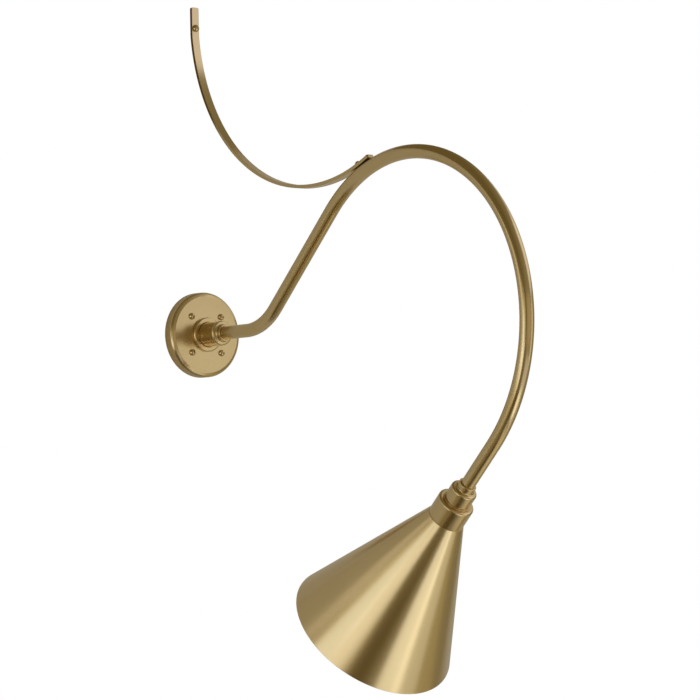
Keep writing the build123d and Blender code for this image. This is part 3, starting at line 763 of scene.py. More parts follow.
def wear_group(name):
    """Light wear on outer edges: a mask."""
    group, vector, width, mask = new_group(name, "Width", "NodeSocketFloat", 0.56, "Mask")
    shape = add_node(group, "ShaderNodeNewGeometry")
    edges = map_range(group, shape.outputs["Pointiness"], From_Min=0.51, From_Max=width)
    noise = add_node(group, "ShaderNodeTexNoise", Vector=vector, Scale=160.0, Detail=2.0)
    put(group, mask, product(group, edges, noise.outputs["Fac"]))
    return group


def dust_group(name):
    """Thin dust on faces that look up: a mask."""
    group, vector, amount, mask = new_group(name, "Amount", "NodeSocketFloat", 0.2, "Mask")
    shape = add_node(group, "ShaderNodeNewGeometry")
    parts = add_node(group, "ShaderNodeSeparateXYZ", Vector=shape.outputs["Normal"])
    upward = map_range(group, parts.outputs["Z"], From_Min=0.3)
    noise = add_node(group, "ShaderNodeTexNoise", Vector=vector, Scale=70.0, Detail=6.0, Roughness=0.7)
    patchy = product(group, upward, noise.outputs["Fac"])
    put(group, mask, product(group, patchy, amount))
    return group


GROUPS = {"Brushed grain": grain_group, "Smudges": smudge_group, "Edge wear": wear_group, "Dust": dust_group}


def use_group(tree, name, vector, **values):
    """Value that a shader group puts out at a coordinate; the group is made the first time."""
    group = bpy.data.node_groups.get(name) or GROUPS[name](name)
    return add_node(tree, "ShaderNodeGroup", {"node_tree": group}, Vector=vector, **values).outputs[0]


# Materials
def new_material(name):
    """Material with its tree, its Principled BSDF and its coordinates."""
    material = bpy.data.materials.new(name)
    material.use_nodes = True
    tree = material.node_tree
    return material, tree, tree.nodes["Principled BSDF"], tree.nodes.new("ShaderNodeTexCoord").outputs


def known(name, maker, *values, **extras):
    """Material of a name, made the first time it is asked for."""
    return bpy.data.materials.get(name) or maker(name, *values, **extras)


def add_relief(tree, shader, height, strength, distance):
    """Bump from a height on a shader."""
    bump = add_node(tree, "ShaderNodeBump", Strength=strength, Distance=distance, Height=height)
    feed(tree, shader, Normal=bump.outputs["Normal"])


def brass_material(name, stretch, relief, rough):
    """Satin brass brushed along or round a piece."""
    finish = bpy.context.scene.barn_finish
    material, tree, shader, place = new_material(name)
    grain = use_group(tree, "Brushed grain", place["UV"], Stretch=stretch)
    smudge = use_group(tree, "Smudges", place["Object"], Scale=14.0)
    wear = use_group(tree, "Edge wear", place["Object"])
    dust = use_group(tree, "Dust", place["Object"], Amount=0.05)
    tone = blend_colour(tree, map_range(tree, smudge, To_Max=0.16), finish.brass, finish.brass_dark)
    worn = blend_colour(tree, map_range(tree, wear, To_Max=0.25), tone, finish.brass_worn)
    dusty = blend_colour(tree, dust, worn, finish.brass_dust)
    half = finish.grain / 2
    streaks = map_range(tree, grain, To_Min=rough - half, To_Max=rough + half)
    feed(tree, shader, Base_Color=dusty, Roughness=streaks, Metallic=1.0)
    add_relief(tree, shader, grain, relief, GRAIN_HEIGHT)
    return material


# Brass finishes, with the grain's stretch, its relief and the setting of the roughness
ROUND_GRAIN = (24.0, 2600.0, 1.0)
LONG_GRAIN = (90.0, 30.0, 1.0)
BRASS = {
    "Spun brass": (ROUND_GRAIN, 0.02, "spun_rough"),
    "Turned brass": (ROUND_GRAIN, 0.008, "turned_rough"),
    "Drawn brass": (LONG_GRAIN, 0.003, "drawn_rough"),
}


def brass(name):
    """Brass of a named finish."""
    stretch, relief, rough = BRASS[name]
    return known(name, brass_material, stretch, relief, getattr(bpy.context.scene.barn_finish, rough))


def plain_material(name, base, shadow, rough, scale, metallic=0.0, coat=0.0, relief=0.0):
    """Material whose colour and roughness change a little in soft blotches, with a faint relief."""
    material, tree, shader, place = new_material(name)
    smudge = use_group(tree, "Smudges", place["Object"], Scale=scale)
    dust = use_group(tree, "Dust", place["Object"], Amount=0.12)
    tone = blend_colour(tree, smudge, base, shadow)
    dusty = blend_colour(tree, dust, tone, bpy.context.scene.barn_finish.dust)
    uneven = map_range(tree, smudge, To_Min=rough, To_Max=rough * BLOTCH_ROUGHER)
    feed(tree, shader, Base_Color=dusty, Roughness=uneven, Metallic=metallic, Coat_Weight=coat)
    if relief:
        add_relief(tree, shader, smudge, relief, BLOTCH_HEIGHT)
    return material


def glass_material(name, tint):
    """Clear glass with a faint wave."""
    material, tree, shader, place = new_material(name)
    smudge = use_group(tree, "Smudges", place["Object"], Scale=22.0)
    uneven = map_range(tree, smudge, To_Min=0.01, To_Max=0.05)
    feed(tree, shader, Base_Color=(*tint, 1.0), Roughness=uneven, Transmission_Weight=1.0, IOR=1.47)
    add_relief(tree, shader, smudge, 0.03, WAVE_HEIGHT)
    return material


# Plain finishes by slot: name, colour, colour of the blotches, roughness, scale of the blotches, extras
METAL = {"metallic": 1.0}
SHEATH = {"relief": 0.1}
PLAIN = {
    "plated_steel": ("Plated steel", (0.62, 0.62, 0.59), (0.50, 0.50, 0.47), 0.30, 90.0, METAL),
    "gasket_rubber": (
        "Gasket rubber", (0.035, 0.035, 0.035), (0.06, 0.06, 0.058), 0.80, 400.0, {"relief": 0.5}
    ),
    "ground_green_paint": (
        "Green lacquer", (0.045, 0.26, 0.10), (0.03, 0.19, 0.07), 0.32, 120.0, {"coat": 0.3}
    ),
    "ring_aluminium": ("Turned aluminium", (0.78, 0.78, 0.77), (0.66, 0.66, 0.65), 0.28, 120.0, METAL),
    "porcelain": (
        "Porcelain", (0.86, 0.85, 0.80), (0.80, 0.78, 0.72), 0.16, 140.0, {"coat": 0.6, "relief": 0.08}
    ),
    "contact_brass": ("Bright brass", (0.80, 0.60, 0.28), (0.62, 0.44, 0.20), 0.22, 150.0, METAL),
    "base_aluminium": ("Bright aluminium", (0.80, 0.80, 0.79), (0.68, 0.68, 0.66), 0.20, 130.0, METAL),
    "insulator_black": (
        "Dark insulator", (0.02, 0.02, 0.022), (0.05, 0.045, 0.05), 0.20, 200.0, {"coat": 0.3, "relief": 0.1}
    ),
    "solder": (
        "Solder", (0.66, 0.66, 0.66), (0.48, 0.48, 0.49), 0.30, 320.0, {"metallic": 1.0, "relief": 0.5}
    ),
    "filament_wire": ("Drawn wire", (0.42, 0.40, 0.38), (0.30, 0.29, 0.28), 0.35, 500.0, METAL),
    "lead_black": ("Black insulation", (0.022, 0.022, 0.022), (0.04, 0.04, 0.04), 0.42, 160.0, SHEATH),
    "lead_white": ("White insulation", (0.80, 0.80, 0.77), (0.70, 0.69, 0.64), 0.42, 160.0, SHEATH),
    "lead_green": ("Green insulation", (0.04, 0.28, 0.09), (0.03, 0.20, 0.06), 0.42, 160.0, SHEATH),
    "connector_orange": (
        "Moulded plastic", (0.80, 0.24, 0.03), (0.66, 0.18, 0.02), 0.30, 110.0, {"coat": 0.1, "relief": 0.1}
    ),
}
GLASS = {"bulb_glass": ("Bulb glass", (0.98, 0.985, 0.975)), "stem_glass": ("Stem glass", (0.93, 0.96, 0.94))}


def slot_material(slot):
    """Material of a record's slot."""
    if slot == "satin_brass":
        return brass("Turned brass")
    if slot in GLASS:
        name, tint = GLASS[slot]
        return known(name, glass_material, tint)
    name, *values, extras = PLAIN[slot]
    return known(name, plain_material, *values, **extras)


def record_slot(node):
    """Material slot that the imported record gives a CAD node."""
    for part in frame["record"]["subparts"]:
        if part["node"] == node:
            return part["material_slot"]
    raise RuntimeError(f"the record has no part named {node}")


def hand_over(piece, node, material=None):
    """Let a piece stand for a CAD node, with its body, slot and material."""
    slot = record_slot(node)
    piece.data.materials.append(material or slot_material(slot))
    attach(piece, frame["nodes"][node]["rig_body"])
    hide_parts(node)
    return piece


# Outlines of the pieces
def dome_rows(screws, head_diameter, head_height):
    """Rows of a dome head from its under face over the crown into the drive."""
    radius, edge = head_diameter / 2, screws.head_edge
    crown = head_height - edge
    ball = (radius**2 + crown**2) / (2 * crown)
    centre = head_height - ball
    reach = 2 * math.atan2(crown, radius)
    corner = screws.drive_width / 2 / math.cos(math.pi / 6) * DRIVE_RIM
    inner = math.asin(corner / ball)
    outline = hexagon(screws.drive_width)
    floor = head_height - screws.drive_depth
    rows = [(radius - edge / 4, 0.0), (radius, edge / 4)]
    rows += [(ball * math.sin(t), centre + ball * math.cos(t)) for t in steps(reach, inner, 12)]
    rows.append(lambda t: (outline(t), centre + math.sqrt(ball**2 - outline(t) ** 2)))
    rows.append(lambda t: (outline(t), floor))
    rows.append((0.0, floor))
    return rows


def shank_rows(diameter, reach):
    """Rows of a plain shank from its end up to the head."""
    radius = diameter / 2
    chamfer = radius * SHANK_CHAMFER
    return [(0.0, -reach), (radius * SHANK_POINT, -reach), (radius, -reach + chamfer), (radius, 0.0)]


def strap_end(end, ahead, brace):
    """Stations that round a strap's end, each with its share of the width."""
    toward = (ahead[0] - end[0]).normalized()
    stations = []
    for t in steps(0.0, math.pi / 2, 8)[:-1]:
        spot = end[0] + toward * (brace.corner * (1 - math.cos(t)))
        width = 1 - brace.corner * (1 - math.sin(t)) / (brace.width / 2)
        stations.append(((spot, end[1]), width))
    return stations


def base_rows(bulb):
    """Rows of the bulb's threaded base."""
    start, end, sheet = bulb.base_start, bulb.base_start + bulb.base_length, bulb.base_sheet
    crest, root = bulb.base_radius, bulb.base_radius - bulb.thread_depth
    collar = end - bulb.base_collar
    rows = [(bulb.base_hole, start), (root - bulb.base_chamfer / 2, start), (root, start + bulb.base_chamfer)]
    for height in steps(start + bulb.thread_start, collar, THREAD_ROWS):
        rows.append(thread_row(height, bulb.thread_pitch, root, crest))
    rows += [(root, collar + bulb.collar_foot), (crest, collar + bulb.collar_top), (crest, end)]
    rows += [(crest - sheet, end), (root - sheet, collar), (root - sheet, start + sheet)]
    rows.append((bulb.base_hole, start + sheet))
    return rows


def glass_rows(bulb, start, shrink):
    """Rows of the bulb's glass from its neck to its crown, drawn in by a shrink."""
    neck, globe = bulb.glass_neck, bulb.globe_radius
    shoulder = bulb.base_start + bulb.base_length + bulb.neck_rise
    climb = bulb.globe_height - shoulder
    throat = (neck**2 + climb**2 - globe**2) / (2 * (globe - neck))
    tilt = math.atan2(climb, neck + throat)
    bend, ball = throat + shrink, globe - shrink
    rows = [(neck - shrink, start)]
    for t in steps(0.0, tilt, 14):
        rows.append((neck + throat - bend * math.cos(t), shoulder + bend * math.sin(t)))
    for t in steps(-tilt, math.pi / 2, 28)[1:-1]:
        rows.append((ball * math.cos(t), bulb.globe_height + ball * math.sin(t)))
    rows.append((0.0, bulb.globe_height + ball))
    return rows


def coil_frames(bulb, place, level):
    """Frames along the filament's coil, which bows between the posts."""
    reach = bulb.post_span / 2 - 2 * bulb.post_radius - bulb.filament_radius
    bow = (reach**2 + bulb.filament_rise**2) / (2 * bulb.filament_rise)
    half = math.asin(reach / bow)
    centre = level + bulb.filament_rise - bow
    count = bulb.coil_turns * COIL_STEPS
    points = []
    for i in range(count + 1):
        swing, turn = half * (2 * i / count - 1), FULL_TURN * i / COIL_STEPS
        out = bow + bulb.coil_radius * math.cos(turn)
        spot = (out * math.sin(swing), bulb.coil_radius * math.sin(turn), centre + out * math.cos(swing))
        points.append(place @ Vector(spot))
    frames = []
    for i, spot in enumerate(points):
        along = (points[min(i + 1, count)] - points[max(i - 1, 0)]).normalized()
        side = along.cross(place.col[0].xyz).normalized()
        frames.append((spot, side, along.cross(side), 1.0))
    return frames


# Pieces
class BARN_OT_canopy(bpy.types.Operator):
    """Spun wall canopy with its bevelled face"""

    bl_idname = "barn_light.canopy"
    bl_label = "Wall canopy"

    def execute(self, context):
        wall = context.scene.barn_wall
        rim, height, sheet = wall.canopy_diameter / 2, wall.canopy_height, wall.canopy_sheet
        hole = wall.stem_radius + FREE_FIT
        face, edge = rim - wall.bevel_width, height - wall.bevel_drop
        fold = rim - wall.bevel_width * wall.bevel_fold
        level = height - wall.bevel_drop * wall.bevel_fold
        rows = rounded([
            (rim, 0.0, LIP_ROUND),
            (rim, edge, wall.rim_round),
            (fold, level, wall.bevel_round),
            (face, height, wall.face_round),
            (hole, height),
            (hole, height - sheet),
            (face, height - sheet, wall.face_round),
            (fold - sheet / 2, level - sheet, wall.bevel_round),
            (rim - sheet, edge - sheet / 2, wall.face_round),
            (rim - sheet, 0.0, LIP_ROUND),
        ])
        hand_over(turned("canopy", rows, wall_place(), LARGE_SIDES), "wall_canopy", brass("Spun brass"))
        return {"FINISHED"}


class BARN_OT_screws(bpy.types.Operator):
    """Dome-headed screws of the canopy, the strap's foot and the tube"""

    bl_idname = "barn_light.screws"
    bl_label = "Dome-headed screws"

    def execute(self, context):
        scene = context.scene
        screws, wall, brace = scene.barn_screws, scene.barn_wall, scene.barn_brace
        rows = shank_rows(screws.canopy_shank, wall.canopy_height)
        rows += dome_rows(screws, screws.canopy_head, screws.canopy_head_height)
        half = wall.screw_square / 2
        heads = [
            turned("canopy_screw", rows, wall_place(wall.canopy_height, x, z), SMALL_SIDES, False)
            for x in (-half, half)
            for z in (-half, half)
        ]
        hand_over(joined("canopy_screw_set", heads), "canopy_screws")

        seat = brace_stations(scene)[1]
        behind = -brace.thickness
        tip, stop = behind - screws.wall_bite, behind - screws.thread_stop
        crest, neck = screws.wall_shank / 2, screws.wall_neck / 2
        root = crest * screws.thread_root
        rows = [(0.0, tip)]
        for height in steps(tip, stop, WALL_THREAD_ROWS)[1:]:
            taper = min(1.0, (height - tip) / screws.wall_point)
            rows.append(thread_row(height, screws.wall_pitch, root * taper, crest * taper, NARROW_CREST))
        rows += [(root, stop + screws.thread_runout), (root, behind), (neck, behind), (neck, 0.0)]
        rows += dome_rows(screws, screws.wall_head, screws.wall_head_height)
        place = wall_place(brace.thickness, 0.0, seat.top - brace.screw_drop)
        hand_over(turned("wall_screw", rows, place, SMALL_SIDES, False), "brace_wall_screw")

        turn = seat.contact - screws.tube_setback / brace.radius
        out = brace.radius - brace.thickness / 2 - brace.seat_gap
        spot = seat.centre + Vector((math.cos(turn), math.sin(turn))) * out
        place = placed(side_point(spot), (1, 0, 0), side_point(seat.centre - spot))
        rows = shank_rows(screws.tube_shank, screws.tube_shank_length)
        rows += dome_rows(screws, screws.tube_head, screws.tube_head_height)
        hand_over(turned("tube_screw", rows, place, SMALL_SIDES, False), "brace_tube_screw")
        return {"FINISHED"}


class BARN_OT_hub(bpy.types.Operator):
    """Turned hub and the beaded ring round its foot"""

    bl_idname = "barn_light.hub"
    bl_label = "Hub and ring"

    def execute(self, context):
        wall, arm = context.scene.barn_wall, context.scene.barn_arm
        base = wall.canopy_height
        front = base + wall.hub_length
        lip = front + wall.collar_length
        bore = arm.tube_diameter / 2 - arm.tube_wall
        rows = rounded([
            (bore, wall.stem_end),
            (wall.stem_radius, wall.stem_end, LIP_ROUND),
            (wall.stem_radius, base),
            (wall.hub_radius, base),
            (wall.hub_radius, front, wall.hub_round),
            (wall.collar_radius, front, wall.collar_fillet),
            (wall.collar_radius, lip, wall.collar_round),
            (wall.seat_radius, lip, EDGE_BREAK),
            (wall.seat_radius, arm.tube_start),
            (bore, arm.tube_start),
        ])
        hand_over(turned("hub_body", rows, wall_place(), MIDDLE_SIDES), "hub")
        inner = wall.hub_radius + TIGHT_FIT
        top = base + wall.ring_height
        rows = rounded([
            (inner, base),
            (wall.ring_radius, base, wall.ring_foot),
            (wall.ring_radius, top, wall.ring_round),
            (inner, top, wall.ring_round / 2),
        ])
        hand_over(turned("hub_bead", rows, wall_place(), MIDDLE_SIDES), "hub_ring")
        return {"FINISHED"}


class BARN_OT_arm(bpy.types.Operator):
    """Gooseneck tube bent to an S"""

    bl_idname = "barn_light.arm"
    bl_label = "Gooseneck tube"

    def execute(self, context):
        arm = context.scene.barn_arm
        radius = arm.tube_diameter / 2
        stations = arm_stations(context.scene, math.radians(1.0))[0]
        frames = side_frames(stations, [1.0] * len(stations))
        outside, inside = (circle(r, TUBE_SIDES) for r in (radius, radius - arm.tube_wall))
        tube = swept("gooseneck", frames, outside, inside)
        hand_over(tube, "gooseneck_tube", brass("Drawn brass"))
        return {"FINISHED"}


class BARN_OT_brace(bpy.types.Operator):
    """Flat strap from the wall to the crook"""

    bl_idname = "barn_light.brace"
    bl_label = "Brace strap"

    def execute(self, context):
        brace = context.scene.barn_brace
        half, thick = brace.width / 2, brace.thickness / 2
        section = rounded([(x * half, y * thick, brace.edge) for x, y in CORNERS])
        stations = brace_stations(context.scene)[0]
        ends = stations[0][0], stations[-1][0]
        body = [(s, 1.0) for s in stations if all((s[0] - end).length > brace.corner for end in ends)]
        foot = strap_end(stations[0], stations[1], brace)
        tail = strap_end(stations[-1], stations[-2], brace)
        line, widths = zip(*foot, *body, *reversed(tail))
        hand_over(swept("strap", side_frames(line, widths), section), "brace_strap", brass("Drawn brass"))
        return {"FINISHED"}


class BARN_OT_fitter(bpy.types.Operator):
    """Turned steps between the arm and the shade"""

    bl_idname = "barn_light.fitter"
    bl_label = "Fitter"

    def execute(self, context):
        scene = context.scene
        fitter, wall, shade = scene.barn_fitter, scene.barn_wall, scene.barn_shade
        place = shade_place(scene)
        bore = fitter.nipple_radius
        end = scene.barn_arm.tube_end
        rows = rounded([
            (wall.seat_radius, fitter.top, EDGE_BREAK),
            (wall.collar_radius, fitter.top, wall.collar_round),
            (wall.collar_radius, fitter.coupling_top, wall.collar_fillet),
            (fitter.coupling_radius, fitter.coupling_top, fitter.coupling_round),
            (fitter.coupling_radius, fitter.washer_top, EDGE_BREAK),
            (bore, fitter.washer_top),
            (bore, end),
            (wall.seat_radius, end),
        ])
        hand_over(turned("coupling", rows, place, MIDDLE_SIDES), "arm_coupling")
        bore = fitter.nipple_radius + FREE_FIT
        rows = rounded([
            (bore, fitter.washer_top),
            (fitter.washer_radius, fitter.washer_top, fitter.washer_round),
            (fitter.washer_radius, fitter.cup_top, fitter.washer_round),
            (bore, fitter.cup_top),
        ])
        hand_over(turned("washer", rows, place, MIDDLE_SIDES), "fitter_washer")
        inside = fitter.cup_radius - fitter.cup_wall
        ceiling = fitter.cup_top + fitter.cup_wall
        mouth = shade.neck_drop - fitter.mouth_length
        rows = rounded([
            (bore, fitter.cup_top),
            (fitter.cup_radius, fitter.cup_top, fitter.cup_round),
            (fitter.cup_radius, shade.neck_drop, LIP_ROUND),
            (fitter.cup_mouth, shade.neck_drop),
            (fitter.cup_mouth, mouth),
            (inside, mouth),
            (inside, ceiling, fitter.cup_round - fitter.cup_wall),
            (bore, ceiling),
        ])
        hand_over(turned("cup", rows, place, MIDDLE_SIDES), "socket_cup")
        return {"FINISHED"}


class BARN_OT_shade(bpy.types.Operator):
    """Spun cone shade and the ring that clamps its neck"""

    bl_idname = "barn_light.shade"
    bl_label = "Shade and ring"

    def execute(self, context):
        shade = context.scene.barn_shade
        place = shade_place(context.scene)
        slope = (shade.rim_radius - shade.neck_radius) / shade.shade_length
        wall = shade.sheet * math.sqrt(1 + slope**2)
        rim = shade.neck_drop + shade.shade_length
        floor = shade.neck_drop + shade.sheet
        hole = shade.ring_radius + FREE_FIT
        rows = rounded([
            (hole, shade.neck_drop),
            (shade.neck_radius, shade.neck_drop, LIP_ROUND),
            (shade.rim_radius, rim, EDGE_BREAK),
            (shade.rim_radius - wall, rim, EDGE_BREAK),
            (shade.neck_radius + slope * shade.sheet - wall, floor),
            (hole, floor),
        ])
        hand_over(turned("shade_cone", rows, place, LARGE_SIDES), "shade", brass("Spun brass"))
        top = shade.neck_drop - shade.ring_engagement
        end = floor + shade.ring_flange_thickness
        flange = shade.ring_radius + shade.ring_flange
        rows = rounded([
            (shade.ring_bore, top),
            (shade.ring_radius, top),
            (shade.ring_radius, floor),
            (flange, floor),
            (flange, end, shade.ring_flange_thickness / 2),
            (shade.ring_bore, end, EDGE_BREAK),
        ])
        hand_over(turned("clamp_ring", rows, place, MIDDLE_SIDES), "shade_ring")
        return {"FINISHED"}


class BARN_OT_socket(bpy.types.Operator):
    """Porcelain lamp socket with its shell and contact"""

    bl_idname = "barn_light.socket"
    bl_label = "Lamp socket"

    def execute(self, context):
        scene = context.scene
        socket, pitch = scene.barn_socket, scene.barn_bulb.thread_pitch
        place = shade_place(scene)
        floor = socket.shell_floor
        rows = rounded([
            (socket.recess_radius, socket.top),
            (socket.radius, socket.top, socket.end_round),
            (socket.radius, socket.end, socket.end_round),
            (socket.bore, socket.end, socket.mouth_round),
            (socket.bore, floor),
            (0.0, floor),
            (0.0, socket.recess_floor),
            (socket.recess_radius, socket.recess_floor),
        ])
        hand_over(turned("porcelain_body", rows, place), "socket_body")
        outside, end = socket.shell_radius, socket.shell_end
        flange = outside - socket.shell_flange
        sheet = outside - socket.shell_bore
        root = outside - sheet * socket.thread_root
        rows = [(flange, floor), (outside, floor), (outside, end), (outside - sheet * socket.lip_share, end)]
        for height in steps(end - socket.shell_lip, floor + socket.shell_heel, THREAD_ROWS):
            rows.append(thread_row(height, pitch, root, socket.shell_bore))
        rows += [(socket.shell_bore, floor + sheet), (flange, floor + sheet)]
        hand_over(turned("shell", rows, place, THREAD_SIDES, True, THREAD_SHARP), "screw_shell")
        top = floor + socket.contact_height
        rows = rounded([
            (0.0, floor),
            (socket.contact_radius, floor),
            (socket.contact_radius, floor + socket.contact_rim, EDGE_BREAK),
            (socket.contact_crown, top, socket.contact_round),
            (0.0, top),
        ])
        hand_over(turned("contact", rows, place, SMALL_SIDES, False), "centre_contact")
        return {"FINISHED"}


class BARN_OT_bulb(bpy.types.Operator):
    """Screw-in bulb with its base, glass, stem and filament"""

    bl_idname = "barn_light.bulb"
    bl_label = "Bulb"

    def execute(self, context):
        bulb = context.scene.barn_bulb
        place = shade_place(context.scene, bulb.tip)
        hand_over(turned("base_shell", base_rows(bulb), place, THREAD_SIDES, True, THREAD_SHARP), "bulb_base")
        plug = bulb.base_start + bulb.insulator_plug
        rows = rounded([
            (0.0, bulb.tip_height),
            (bulb.tip_radius, bulb.tip_height),
            (bulb.insulator_radius, bulb.base_start, bulb.tip_round),
            (bulb.insulator_radius, plug),
            (0.0, plug),
        ])
        hand_over(turned("base_glass", rows, place, SMALL_SIDES, False), "base_insulator")
        rows = rounded([
            (0.0, 0.0),
            (bulb.tip_flat, 0.0, bulb.tip_round),
            (bulb.tip_radius, bulb.tip_height / 2, EDGE_BREAK),
            (bulb.tip_radius, bulb.tip_height),
            (0.0, bulb.tip_height),
        ])
        hand_over(turned("tip_contact", rows, place, SMALL_SIDES, False), "base_tip")

        start = bulb.base_start + bulb.base_length - bulb.glass_insert
        rows = glass_rows(bulb, start, 0.0) + glass_rows(bulb, start, bulb.glass_wall)[::-1]
        hand_over(turned("globe", rows, place), "bulb_globe")
        low = start + bulb.stem_lift
        top = low + bulb.stem_height
        flare = bulb.glass_neck - bulb.glass_wall - bulb.stem_gap
        rows = rounded([
            (0.0, low),
            (flare, low, bulb.flare_round),
            (flare, low + bulb.flare_thickness, bulb.flare_round),
            (bulb.stem_radius, low + bulb.flare_height, bulb.stem_radius),
            (bulb.stem_radius, top, bulb.stem_round),
            (0.0, top),
        ])
        hand_over(turned("stem", rows, place, SMALL_SIDES, False), "bulb_stem")

        level = top + bulb.post_height
        depth = place.col[1].xyz
        posts = []
        for side in (-1, 1):
            foot = place @ Vector((side * bulb.post_foot, 0.0, top + THREAD_FIT + bulb.post_radius))
            head = place @ Vector((side * bulb.post_span / 2, 0.0, level))
            lift = (head - foot).cross(depth).normalized()
            frames = [(foot.lerp(head, t), depth, lift, 1.0) for t in steps(0.0, 1.0, 6)]
            posts.append(swept("post", frames, circle(bulb.post_radius, POST_SIDES)))
        hand_over(joined("posts", posts), "filament_posts")
        wire = swept("coil", coil_frames(bulb, place, level), circle(bulb.wire_radius, WIRE_SIDES))
        hand_over(wire, "filament")
        return {"FINISHED"}


class BARN_OT_nuts(bpy.types.Operator):
    """Nuts and the earth screw"""

    bl_idname = "barn_light.nuts"
    bl_label = "Nuts and earth screw"

    def execute(self, context):
        scene = context.scene
        nuts, wall, fitter = scene.barn_nuts, scene.barn_wall, scene.barn_fitter
        bore = wall.stem_radius + THREAD_FIT
        high = wall.canopy_height - wall.canopy_sheet - nuts.lug_thickness
        low = high - nuts.lock_height
        rows = [(bore, low), *hex_rows(2 * (bore + nuts.lock_shoulder), low, high), (bore, high)]
        hand_over(turned("stem_nut", rows, wall_place()), "lock_nut")
        bore = fitter.nipple_radius + THREAD_FIT
        low = fitter.cup_top + fitter.cup_wall
        high = low + nuts.nipple_height
        rows = [(bore, low), *hex_rows(2 * (bore + nuts.nipple_shoulder), low, high), (bore, high)]
        hand_over(turned("cup_nut", rows, shade_place(scene)), "nipple_nut")
        corner, far_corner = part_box("ground_screw")
        spot = (corner + far_corner) / 2
        low, high = nuts.earth_reach, nuts.earth_reach + nuts.earth_head
        rows = [(0.0, 0.0), (nuts.earth_shank, 0.0), (nuts.earth_shank, low)]
        rows += [*hex_rows(nuts.earth_across, low, high), (0.0, high)]
        hand_over(turned("earth_screw", rows, wall_place(0.0, spot.x, spot.z), SIDES, False), "ground_screw")
        return {"FINISHED"}


class BARN_OT_connectors(bpy.types.Operator):
    """Ribbed twist-on caps on the leads"""

    bl_idname = "barn_light.connectors"
    bl_label = "Wire connectors"

    def execute(self, context):
        caps = context.scene.barn_caps
        low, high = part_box("wire_connectors")
        middle = (low + high) / 2
        reach = high.z - middle.z
        start = reach - caps.cap_length
        floor = start + caps.bore_depth
        ribbed = start + caps.rib_start

        def rib(height):
            radius = caps.rib_radius - caps.rib_taper * (height - ribbed)
            return lambda turn: (radius - caps.rib_depth * (0.5 + 0.5 * math.cos(caps.ribs * turn)), height)

        rows = [(0.0, floor), (caps.bore, floor), (caps.bore, start)]
        rows.append((caps.lip_radius - caps.lip_chamfer, start))
        rows += [(caps.lip_radius, start + 2 * caps.lip_chamfer), (caps.lip_radius, start + caps.lip_length)]
        rows += [rib(height) for height in steps(ribbed, reach - caps.nose_length, 8)]
        rows += [(radius, reach - back) for radius, back in CAP_NOSE]
        pair = []
        for side in (-1, 1):
            place = placed((side * caps.offset, middle.y, middle.z), (1, 0, 0), (0, 0, side))
            pair.append(turned("cap", rows, place, SIDES, False, CAP_SHARP))
        hand_over(joined("twist_caps", pair), "wire_connectors")
        return {"FINISHED"}


class BARN_OT_carried(bpy.types.Operator):
    """Finish of the CAD parts that are shown as they are"""

    bl_idname = "barn_light.carried"
    bl_label = "Carried parts"

    def execute(self, context):
        for node, piece in sorted(frame["nodes"].items()):
            if piece.hide_render:
                continue
            slot = record_slot(node)
            piece.data.materials.clear()
            piece.data.materials.append(slot_material(slot))
        return {"FINISHED"}


# Stage: the point that lamps and flags look at, and the way to the room's bright side in degrees
LIGHT_AIM = Vector((0.0, -0.40, -0.20))
ROOM_BRIGHT_SIDE = (40.0, 0.0)

# Lamps: azimuth, elevation, reach, width, height, power in watts, tint; in degrees, the reach in metres
LAMPS = {
    "Left softbox": (-84.0, 0.0, 2.4, 24.0, 18.0, 2.59, (0.58, 0.72, 1.00)),
    "Left low softbox": (-66.0, -12.0, 2.4, 22.0, 18.0, 2.25, (0.67, 0.76, 1.00)),
    "Left broad softbox": (-82.0, -6.0, 2.4, 54.0, 44.0, 5.60, (1.00, 0.93, 0.69)),
    "Left upper softbox": (-116.0, 20.0, 1.05, 60.0, 26.0, 0.54, (0.99, 0.99, 1.00)),
    "Left floor softbox": (-96.0, -44.0, 2.2, 34.0, 20.0, 0.40, (1.00, 0.78, 0.40)),
    "Low softbox": (3.0, -42.0, 2.4, 28.0, 16.0, 3.11, (0.78, 0.85, 1.00)),
    "Low upper softbox": (14.0, -25.0, 2.4, 58.0, 20.0, 3.08, (0.71, 0.76, 1.00)),
    "Front high softbox": (-10.0, 4.0, 2.4, 54.0, 26.0, 1.52, (1.00, 0.81, 0.70)),
    "Low floor softbox": (20.0, -64.0, 1.8, 60.0, 16.0, 1.41, (1.00, 0.95, 0.81)),
    "Low right softbox": (33.0, -44.0, 2.4, 30.0, 22.0, 1.91, (0.91, 0.95, 1.00)),
    "Right floor softbox": (80.0, -45.0, 2.2, 46.0, 28.0, 0.92, (1.00, 0.85, 0.42)),
    "Right softbox": (41.0, -1.0, 2.4, 22.0, 28.0, 1.84, (0.93, 0.95, 1.00)),
    "Right upper softbox": (84.0, 34.0, 2.2, 44.0, 30.0, 2.60, (0.95, 0.95, 1.00)),
    "Right high softbox": (48.0, 33.0, 2.4, 32.0, 34.0, 4.86, (0.68, 0.71, 1.00)),
}

# Flags that keep light off: azimuth, elevation, reach, width and height, as for the lamps
FLAGS = {"low_flag": (-42.0, -34.0, 1.92, 24.0, 10.0), "floor_flag": (-58.0, -66.0, 1.9, 40.0, 16.0)}

# Flag beside the strap's foot: its left, right and low sides, and its place in front of the wall
STRAP_FLAG = (-0.05, -0.0066, 0.24)
STRAP_FLAG_FRONT = -0.0002


def around(azimuth, elevation):
    """Direction from the light, given in degrees."""
    a, e = math.radians(azimuth), math.radians(elevation)
    return Vector((math.sin(a) * math.cos(e), -math.cos(a) * math.cos(e), math.sin(e)))


def facing(azimuth, elevation, reach):
    """Place that looks at the light from a direction and a reach."""
    toward = around(azimuth, elevation)
    place = (-toward).to_track_quat("-Z", "Y").to_matrix().to_4x4()
    place.translation = LIGHT_AIM + toward * reach
    return place


